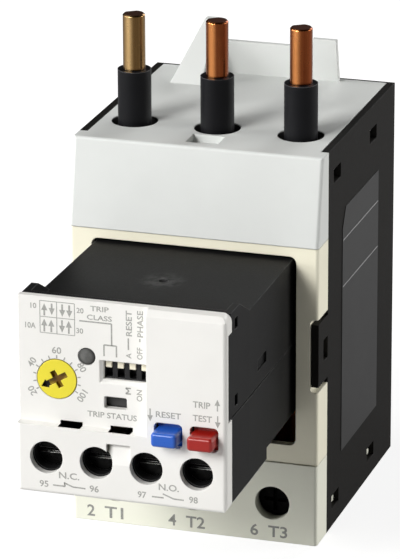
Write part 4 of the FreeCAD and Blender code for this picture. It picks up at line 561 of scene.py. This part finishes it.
# ink: flat outlines in a panel's own millimetres, each raised into a thin closed film
class Ink:
    def __init__(self):
        self.flat = []
        self.faces = []
        self.front = []
        self.count = 0

    def outline(self, points):  # points run anticlockwise: a front face, a back face and a wall round them
        points = np.asarray(points, float)
        n = len(points)
        step = np.arange(n)
        following = (step + 1) % n
        base = self.count
        self.flat.append(np.vstack([points, points]))
        self.front.append(np.concatenate([np.ones(n), np.zeros(n)]))
        walls = np.stack([step, step + n, following + n, following], axis=1) + base
        self.faces += [(step + base).tolist(), (step[::-1] + n + base).tolist()] + walls.tolist()
        self.count += 2 * n

    def bar(self, start, end, width):  # a straight stroke: its two ends moved sideways by half its width
        start, end = np.asarray(start, float), np.asarray(end, float)
        side = strokeAxes(start, end)[1] * width / 2
        self.outline([start - side, end - side, end + side, start + side])

    def line(self, points, width):
        for start, end in zip(points[:-1], points[1:]):
            self.bar(start, end, width)

    def arrow(self, tail, tip, width, head):  # a stroke with a triangular head of that length
        tail, tip = np.asarray(tail, float), np.asarray(tip, float)
        along, left = strokeAxes(tail, tip)
        neck = tip - along * head
        shaft, barb = left * width / 2, left * head * printing["headSpread"]
        self.outline([tail - shaft, neck - shaft, neck - barb, tip, neck + barb, neck + shaft, tail + shaft])

    # outlines of the built-in font, made a little bolder, fitted to a box and turned in it
    def words(self, text, left, right, low, high, turn=0.0):
        curve = bpy.data.curves.new("words", "FONT")
        curve.body = text
        curve.resolution_u = printing["curveSteps"]
        curve.extrude = printing["letterDepth"]
        curve.offset = printing["bolder"]
        holder = bpy.data.objects.new("words", curve)
        mesh = bpy.data.meshes.new_from_object(holder)
        found = np.empty(len(mesh.vertices) * 3)
        mesh.vertices.foreach_get("co", found)
        found = found.reshape(-1, 3)
        least, most = found[:, :2].min(0), found[:, :2].max(0)
        box = np.array([right - left, high - low])
        if turn == printing["upwards"]:
            box = box[::-1]  # such words run along the box's height
        flat = (found[:, :2] - (least + most) / 2) / (most - least) * box
        c, s = math.cos(math.radians(turn)), math.sin(math.radians(turn))
        flat = flat @ np.array([[c, s], [-s, c]]) + np.array([left + right, low + high]) / 2
        self.flat.append(flat)
        self.front.append((found[:, 2] > 0).astype(float))  # a letter's front half lies above its middle
        corners = np.empty(len(mesh.loops), np.int32)
        mesh.loops.foreach_get("vertex_index", corners)
        sizes = np.empty(len(mesh.polygons), np.int32)
        mesh.polygons.foreach_get("loop_total", sizes)
        self.faces += [face.tolist() for face in np.split(corners + self.count, np.cumsum(sizes)[:-1])]
        self.count += len(flat)
        bpy.data.objects.remove(holder)
        bpy.data.curves.remove(curve)
        bpy.data.meshes.remove(mesh)

    # every corner's place on the panel, and how far it stands out of the panel's plane, in metres
    def raised(self, film):
        flat = np.vstack(self.flat) * mm
        return flat[:, 0], flat[:, 1], np.concatenate(self.front) * film

    def onFront(self, name, plane, material):  # facing the front: panel X and Z
        x, z, out = self.raised(printing["film"])
        return addPiece(name, np.stack([x, plane - out, z], axis=1), self.faces, material)

    def onRight(self, name, plane, film, material):  # facing right: panel Y and Z
        y, z, out = self.raised(film)
        return addPiece(name, np.stack([plane + out, y, z], axis=1), self.faces, material)


dialScale = {"ticks": 13, "sweep": 240.0, "tickFrom": 4.45, "tickTo": 5.15, "tickWidth": 0.27,
             "numberEvery": 3, "firstNumber": 20, "numberStep": 20, "numberRadius": 6.2,
             "twoDigits": (2.0, 1.45), "threeDigits": (2.7, 1.45)}


# dial scale: ticks at even angles from the lowest to the highest setting, every third one numbered
def printDialScale():
    ink = Ink()
    axis = middle("current_dial")
    centre = np.array([axis.x, axis.z]) / mm
    angles = np.radians(np.linspace(-0.5, 0.5, dialScale["ticks"]) * dialScale["sweep"])
    for index, angle in enumerate(angles):
        outward = np.array([math.sin(angle), math.cos(angle)])
        ink.bar(centre + outward * dialScale["tickFrom"], centre + outward * dialScale["tickTo"],
                dialScale["tickWidth"])
        if index % dialScale["numberEvery"] == 0:
            steps = index // dialScale["numberEvery"]
            text = str(dialScale["firstNumber"] + dialScale["numberStep"] * steps)
            wide, tall = dialScale["twoDigits" if len(text) == 2 else "threeDigits"]
            x, z = centre + outward * dialScale["numberRadius"]
            ink.words(text, x - wide / 2, x + wide / 2, z - tall / 2, z + tall / 2, -math.degrees(angle))
    return ink.onFront("dialScale", panelPlane, inkGrey)


# words are (text, left, right, low, high), arrows are (x, tail, tip), strokes are points, in millimetres

# trip class table: two by two cells, each with two switch positions as arrows
classTable = {
    "left": -17.75, "middle": -14.15, "right": -10.35, "low": 60.15, "half": 63.6, "high": 67.0,
    "line": 0.16, "shaft": 0.38, "head": 1.45,
    "arrows": [(-16.8, 63.85, 66.45), (-15.2, 66.55, 64.1), (-12.96, 66.6, 63.95), (-11.45, 66.55, 63.95),
               (-16.85, 60.4, 63.15), (-15.35, 60.4, 63.1), (-13.05, 63.2, 60.55), (-11.6, 60.45, 63.2)],
    "words": [("10", -19.75, -18.5, 65.2, 66.35), ("10A", -20.95, -18.7, 60.85, 62.1),
              ("20", -9.9, -8.4, 65.1, 66.25), ("30", -10.0, -8.55, 60.75, 61.9),
              ("TRIP", -6.95, -3.05, 65.85, 66.95), ("CLASS", -7.7, -2.4, 63.95, 65.05)],
    "lead": [(-9.35, 63.5), (-2.5, 63.5), (-2.5, 58.85)],
    "bracket": [(-4.15, 56.45), (-4.15, 58.85), (-1.5, 58.85), (-1.5, 56.45)]}


def printClassTable():
    ink = Ink()
    left, centre, right = (classTable[key] for key in ("left", "middle", "right"))
    low, half, high = (classTable[key] for key in ("low", "half", "high"))
    for x in (left, centre, right):
        ink.bar((x, low), (x, high), classTable["line"])
    for z in (low, half, high):
        ink.bar((left, z), (right, z), classTable["line"])
    for x, tail, tip in classTable["arrows"]:
        ink.arrow((x, tail), (x, tip), classTable["shaft"], classTable["head"])
    for mark in classTable["words"]:
        ink.words(*mark)
    ink.line(classTable["lead"], printing["line"])
    ink.line(classTable["bracket"], printing["line"])
    return ink.onFront("classTable", panelPlane, inkGrey)


# words beside the switch read upwards: what the sliders choose, and the two ways of each; the status
# window's words are level
switchMarks = {
    "upwards": [("RESET", 0.55, 1.85, 61.3, 66.7), ("A", 0.55, 1.65, 56.5, 57.65),
                ("PHASE", 2.95, 4.25, 61.3, 66.9), ("OFF", 2.85, 4.05, 56.5, 59.05),
                ("ON", 2.7, 3.9, 47.45, 49.95)],
    "strokes": [[(1.05, 60.8), (1.05, 58.3)], [(3.5, 60.95), (3.5, 60.25)],
                [(1.5, 48.85), (0.4, 48.85), (1.1, 49.45), (0.4, 50.05), (1.5, 50.05)]],
    "level": ("TRIP STATUS", -7.85, 2.7, 43.05, 44.3)}


def printSwitch():
    ink = Ink()
    for mark in switchMarks["upwards"]:
        ink.words(*mark, printing["upwards"])
    for stroke in switchMarks["strokes"]:
        ink.line(stroke, printing["line"])
    ink.words(*switchMarks["level"])
    return ink.onFront("switchMarks", panelPlane, inkGrey)


# marks beside the levers: arrows that show their travel, and what each way does
leverMarks = {
    "arrows": [(6.3, 47.15, 44.4), (20.5, 48.1, 50.6), (20.55, 47.1, 44.45)], "shaft": 0.26, "head": 1.3,
    "words": [("RESET", 7.5, 12.85, 45.45, 46.75), ("TRIP", 15.35, 19.0, 48.4, 49.75),
              ("TEST", 15.3, 19.35, 45.5, 46.85)]}


def printControls():
    ink = Ink()
    for x, tail, tip in leverMarks["arrows"]:
        ink.arrow((x, tail), (x, tip), leverMarks["shaft"], leverMarks["head"])
    for mark in leverMarks["words"]:
        ink.words(*mark)
    return ink.onFront("leverMarks", fasciaFront, inkGrey)


# auxiliary contacts: terminal numbers and the symbols of the closed and the open contact
contactMarks = {
    "words": [("95", -17.6, -15.7, 27.45, 28.85), ("96", -6.8, -4.85, 27.5, 28.95),
              ("97", 3.5, 5.35, 27.5, 28.9), ("98", 14.45, 16.3, 27.6, 29.0),
              ("N.C.", -13.4, -9.0, 29.7, 31.15), ("N.O.", 8.0, 12.3, 29.65, 31.1)],
    "closed": [[(-14.7, 28.05), (-12.1, 28.05), (-12.25, 28.95)],
               [(-12.25, 28.8), (-10.4, 28.1), (-7.7, 28.05)]],
    "open": [[(6.55, 28.05), (9.05, 28.05)], [(8.85, 28.9), (11.2, 28.05), (13.35, 28.0)]]}


def printContacts():
    ink = Ink()
    for mark in contactMarks["words"]:
        ink.words(*mark)
    for stroke in contactMarks["closed"] + contactMarks["open"]:
        ink.line(stroke, printing["line"])
    return ink.onFront("contactMarks", fasciaFront, inkGrey)


# load terminals: a digit and a name left and right of each pole's axis
terminalMarks = {"digit": (-5.8, -4.05), "name": (-1.8, 2.45), "low": 0.95, "high": 3.6,
                 "poles": [("2", "T1", -18.5), ("4", "T2", 0.0), ("6", "T3", 18.5)]}


def printTerminals():
    ink = Ink()
    low, high = terminalMarks["low"], terminalMarks["high"]
    for digit, name, x in terminalMarks["poles"]:
        ink.words(digit, *[x + side for side in terminalMarks["digit"]], low, high)
        ink.words(name, *[x + side for side in terminalMarks["name"]], low, high)
    return ink.onFront("terminalMarks", coverFront, inkDark)


printDialScale()
printClassTable()
printSwitch()
printControls()
printContacts()
printTerminals()
print("printing in place")


# bare plate on the right side: a rectangle with one cut corner, ruled across; millimetres behind the cover's
# front and above the floor, the film in metres
labelPlate = {
    "front": 18.65, "back": 47.4, "low": 14.9, "high": 70.0, "cut": (2.4, 4.2), "film": 0.00012,
    "rules": (63.0, 52.5), "ruleWidth": 0.2, "ruleInset": 0.3,
    "look": dict(plasticBase, colour=(0.026, 0.0263, 0.027), sheen=0.2, roughness=0.42, mottle=0.05,
                 speckTone=1.4, edge=0.00005, edgeWearAndHighlightColour=(0.2, 0.2, 0.2))}


def sidePlate():
    front, back = (labelPlate[key] + coverFront / mm for key in ("front", "back"))
    low, high = labelPlate["low"], labelPlate["high"]
    cutAlong, cutDown = labelPlate["cut"]
    film, inset = labelPlate["film"], labelPlate["ruleInset"]
    plate = Ink()
    plate.outline([(front, low), (back, low), (back, high),
                   (front + cutAlong, high), (front, high - cutDown)])
    plateGrey = mouldedPlastic("plateGrey", labelPlate["look"])
    plate.onRight("sidePlate", housingRight, film, plateGrey)
    rules = Ink()
    for z in labelPlate["rules"]:
        rules.bar((front + inset, z), (back - inset, z), labelPlate["ruleWidth"])
    return rules.onRight("plateRules", housingRight + film, printing["film"], inkPale)


sidePlate()
print("side plate in place")


# smoke-grey lens: a shallow dome with a tiny flat tip, and its light guide behind it
lampLens = {
    "radius": 0.00175, "dome": 0.00045, "tip": 0.02, "rings": 14, "segments": 48,
    "cloud": (900.0, 2.0, 0.5), "cloudEdge": (0.3, 0.7), "rimEdge": (0.0009, 0.0018),
    "smoke": (0.100, 0.100, 0.096), "pale": (0.135, 0.135, 0.130), "paintedRim": (0.040, 0.040, 0.038),
    "roughness": 0.5, "cloudGloss": 0.1, "sheen": 0.25}


# lens colour: smoke grey with paler clouds, and painted shade that darkens it towards its rim
def lampGlass(name):
    finish = Finish(name)
    axis = middle("status_led")
    cloud = finish.noise(*lampLens["cloud"])
    paintedRim = finish.away(axis.x, axis.z).between(*lampLens["rimEdge"])
    smoke = finish.mix(cloud.between(*lampLens["cloudEdge"]), lampLens["smoke"], lampLens["pale"])
    finish.set(Base_Color=finish.mix(paintedRim, smoke, lampLens["paintedRim"]), Specular_IOR_Level=lampLens["sheen"],
               Roughness=lampLens["roughness"] + cloud.swing(lampLens["cloudGloss"]))
    return finish.material


# turns a profile of (radius, depth along Y) about an axis parallel to Y through (x, z), and closes its ends
def turnedPiece(name, profile, x, z, segments, material):
    around = np.arange(segments)
    angle = around * 2 * math.pi / segments
    radius, depth = profile[:, 0][:, None], profile[:, 1][:, None]
    grid = np.stack([x + radius * np.sin(angle), depth + 0 * angle, z + radius * np.cos(angle)], axis=2)
    last = len(profile) - 1
    row, column = np.meshgrid(np.arange(last), around, indexing="ij")
    here, following = row * segments + column, row * segments + (column + 1) % segments
    walls = np.stack([following, following + segments, here + segments, here], axis=2).reshape(-1, 4)
    ends = [around.tolist(), (around[::-1] + last * segments).tolist()]
    return addPiece(name, grid.reshape(-1, 3), walls.tolist() + ends, material, smooth=True)


# the lens's face is a quarter of an ellipse from tip to rim, and the guide runs straight back from the rim
def lampPiece():
    low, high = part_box("status_led")
    axis = middle("status_led")
    angle = np.linspace(lampLens["tip"], 1.0, lampLens["rings"]) * math.pi / 2
    face = [lampLens["radius"] * np.sin(angle), low.y + lampLens["dome"] * (1 - np.cos(angle))]
    guide = [[lampLens["radius"], high.y]]
    profile = np.vstack([np.stack(face, axis=1), guide])
    piece = turnedPiece("statusLens", profile, axis.x, axis.z, lampLens["segments"],
                        lampGlass("lensSmoke"))
    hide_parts("status_led")
    return piece


lampPiece()
print("lamp lens in place")


# stage: one pale sheet of floor just under the relay; its glow shows brighter than it lights the relay
stage = {"half": 3.0, "below": 0.00005, "colour": (0.32, 0.32, 0.32), "fibre": (300.0, 3.0, 0.5),
         "fibreTone": 1.02, "roughness": 0.85, "bounce": (0.16, 0.16, 0.16), "seen": (0.80, 0.80, 0.80)}


def paperFloor():
    half, level = stage["half"], -stage["below"]
    corners = [(-half, -half, level), (half, -half, level), (half, half, level), (-half, half, level)]
    mesh = bpy.data.meshes.new("floor")
    mesh.from_pydata(corners, [], [(0, 1, 2, 3)])
    floor = bpy.data.objects.new("floor", mesh)
    bpy.context.scene.collection.objects.link(floor)
    finish = Finish("paper")
    fibre = finish.noise(*stage["fibre"])
    seen = finish.add("ShaderNodeLightPath", out="Is Camera Ray")
    paper = finish.mix(fibre, stage["colour"], shade(stage["colour"], stage["fibreTone"]))
    finish.set(Base_Color=paper, Roughness=stage["roughness"],
               Emission_Color=finish.mix(seen, stage["bounce"], stage["seen"]), Emission_Strength=1.0)
    mesh.materials.append(finish.material)


# soft lamps by azimuth from the front (left is negative) and elevation, all at the same distance
lamps = {
    "sideLeft": {"azimuth": -80.0, "elevation": 22.0, "watts": 22.0, "colour": (1.0, 1.0, 0.995)},
    "lowLeft": {"azimuth": -52.0, "elevation": 8.0, "watts": 10.0, "colour": (1.0, 1.0, 0.995)},
    "keyLeft": {"azimuth": -30.0, "elevation": 31.0, "watts": 34.5, "colour": (1.0, 0.995, 0.985)},
    "rearRight": {"azimuth": 115.0, "elevation": 12.0, "watts": 23.5, "colour": (1.0, 0.99, 0.97)},
    "rear": {"azimuth": 165.0, "elevation": 24.0, "watts": 14.0, "colour": (1.0, 1.0, 1.0)},
}
# the white room behind them: its strength as the camera sees it, and as it lights the relay
room = {"seen": 1.05, "lit": 0.01, "colour": (1.0, 1.0, 1.0, 1.0), "aim": (0.0, 0.0, 0.05), "distance": 2.0,
        "lampSize": 0.8}


def outwardFrom(azimuth, elevation):  # unit vector at these angles from the front, in radians
    return Vector((math.sin(azimuth) * math.cos(elevation), -math.cos(azimuth) * math.cos(elevation),
                   math.sin(elevation)))


def softLights():
    for name, lamp in lamps.items():
        light = bpy.data.lights.new(name, "AREA")
        light.energy = lamp["watts"]
        light.size = room["lampSize"]
        light.color = lamp["colour"]
        holder = bpy.data.objects.new(name, light)
        outward = outwardFrom(math.radians(lamp["azimuth"]), math.radians(lamp["elevation"]))
        holder.location = Vector(room["aim"]) + outward * room["distance"]
        holder.rotation_euler = (-outward).to_track_quat("-Z", "Y").to_euler()
        bpy.context.scene.collection.objects.link(holder)


def whiteRoom():
    world = bpy.data.worlds.new("studio")
    bpy.context.scene.world = world
    world.use_nodes = True
    tree = world.node_tree
    background = tree.nodes["Background"]
    path = tree.nodes.new("ShaderNodeLightPath")
    strength = tree.nodes.new("ShaderNodeMapRange")
    strength.inputs["To Min"].default_value = room["lit"]
    strength.inputs["To Max"].default_value = room["seen"]
    tree.links.new(path.outputs["Is Camera Ray"], strength.inputs["Value"])
    tree.links.new(strength.outputs[0], background.inputs["Strength"])
    background.inputs["Color"].default_value = room["colour"]


# camera: fitted to the photograph's edges; aim is the point that the angles turn about
shot = {"azimuth": 17.585, "elevation": 19.356, "roll": -0.234, "aim": (0.0, 0.01975, 0.045),
        "distance": 0.919202, "right": 0.006058, "up": -0.004070, "lens": 272.1, "sensor": 36.0,
        "nearest": 0.05}


def addCamera():
    azimuth, elevation, roll = (math.radians(shot[key]) for key in ("azimuth", "elevation", "roll"))
    back = outwardFrom(azimuth, elevation)
    right = Vector((math.cos(azimuth), math.sin(azimuth), 0.0))
    up = back.cross(right)
    across = right * math.cos(roll) + up * math.sin(roll)
    upright = up * math.cos(roll) - right * math.sin(roll)
    place = Vector(shot["aim"]) - across * shot["right"] - upright * shot["up"] + back * shot["distance"]
    data = bpy.data.cameras.new("camera")
    data.lens = shot["lens"]
    data.sensor_width = shot["sensor"]
    data.clip_start = shot["nearest"]
    camera = bpy.data.objects.new("camera", data)
    turn = Matrix((across, upright, back)).transposed().to_4x4()
    camera.matrix_world = Matrix.Translation(place) @ turn
    bpy.context.scene.collection.objects.link(camera)
    bpy.context.scene.camera = camera


paperFloor()
softLights()
whiteRoom()
addCamera()
bpy.context.scene.view_settings.view_transform = "Standard"
print("stage, lights and camera set")
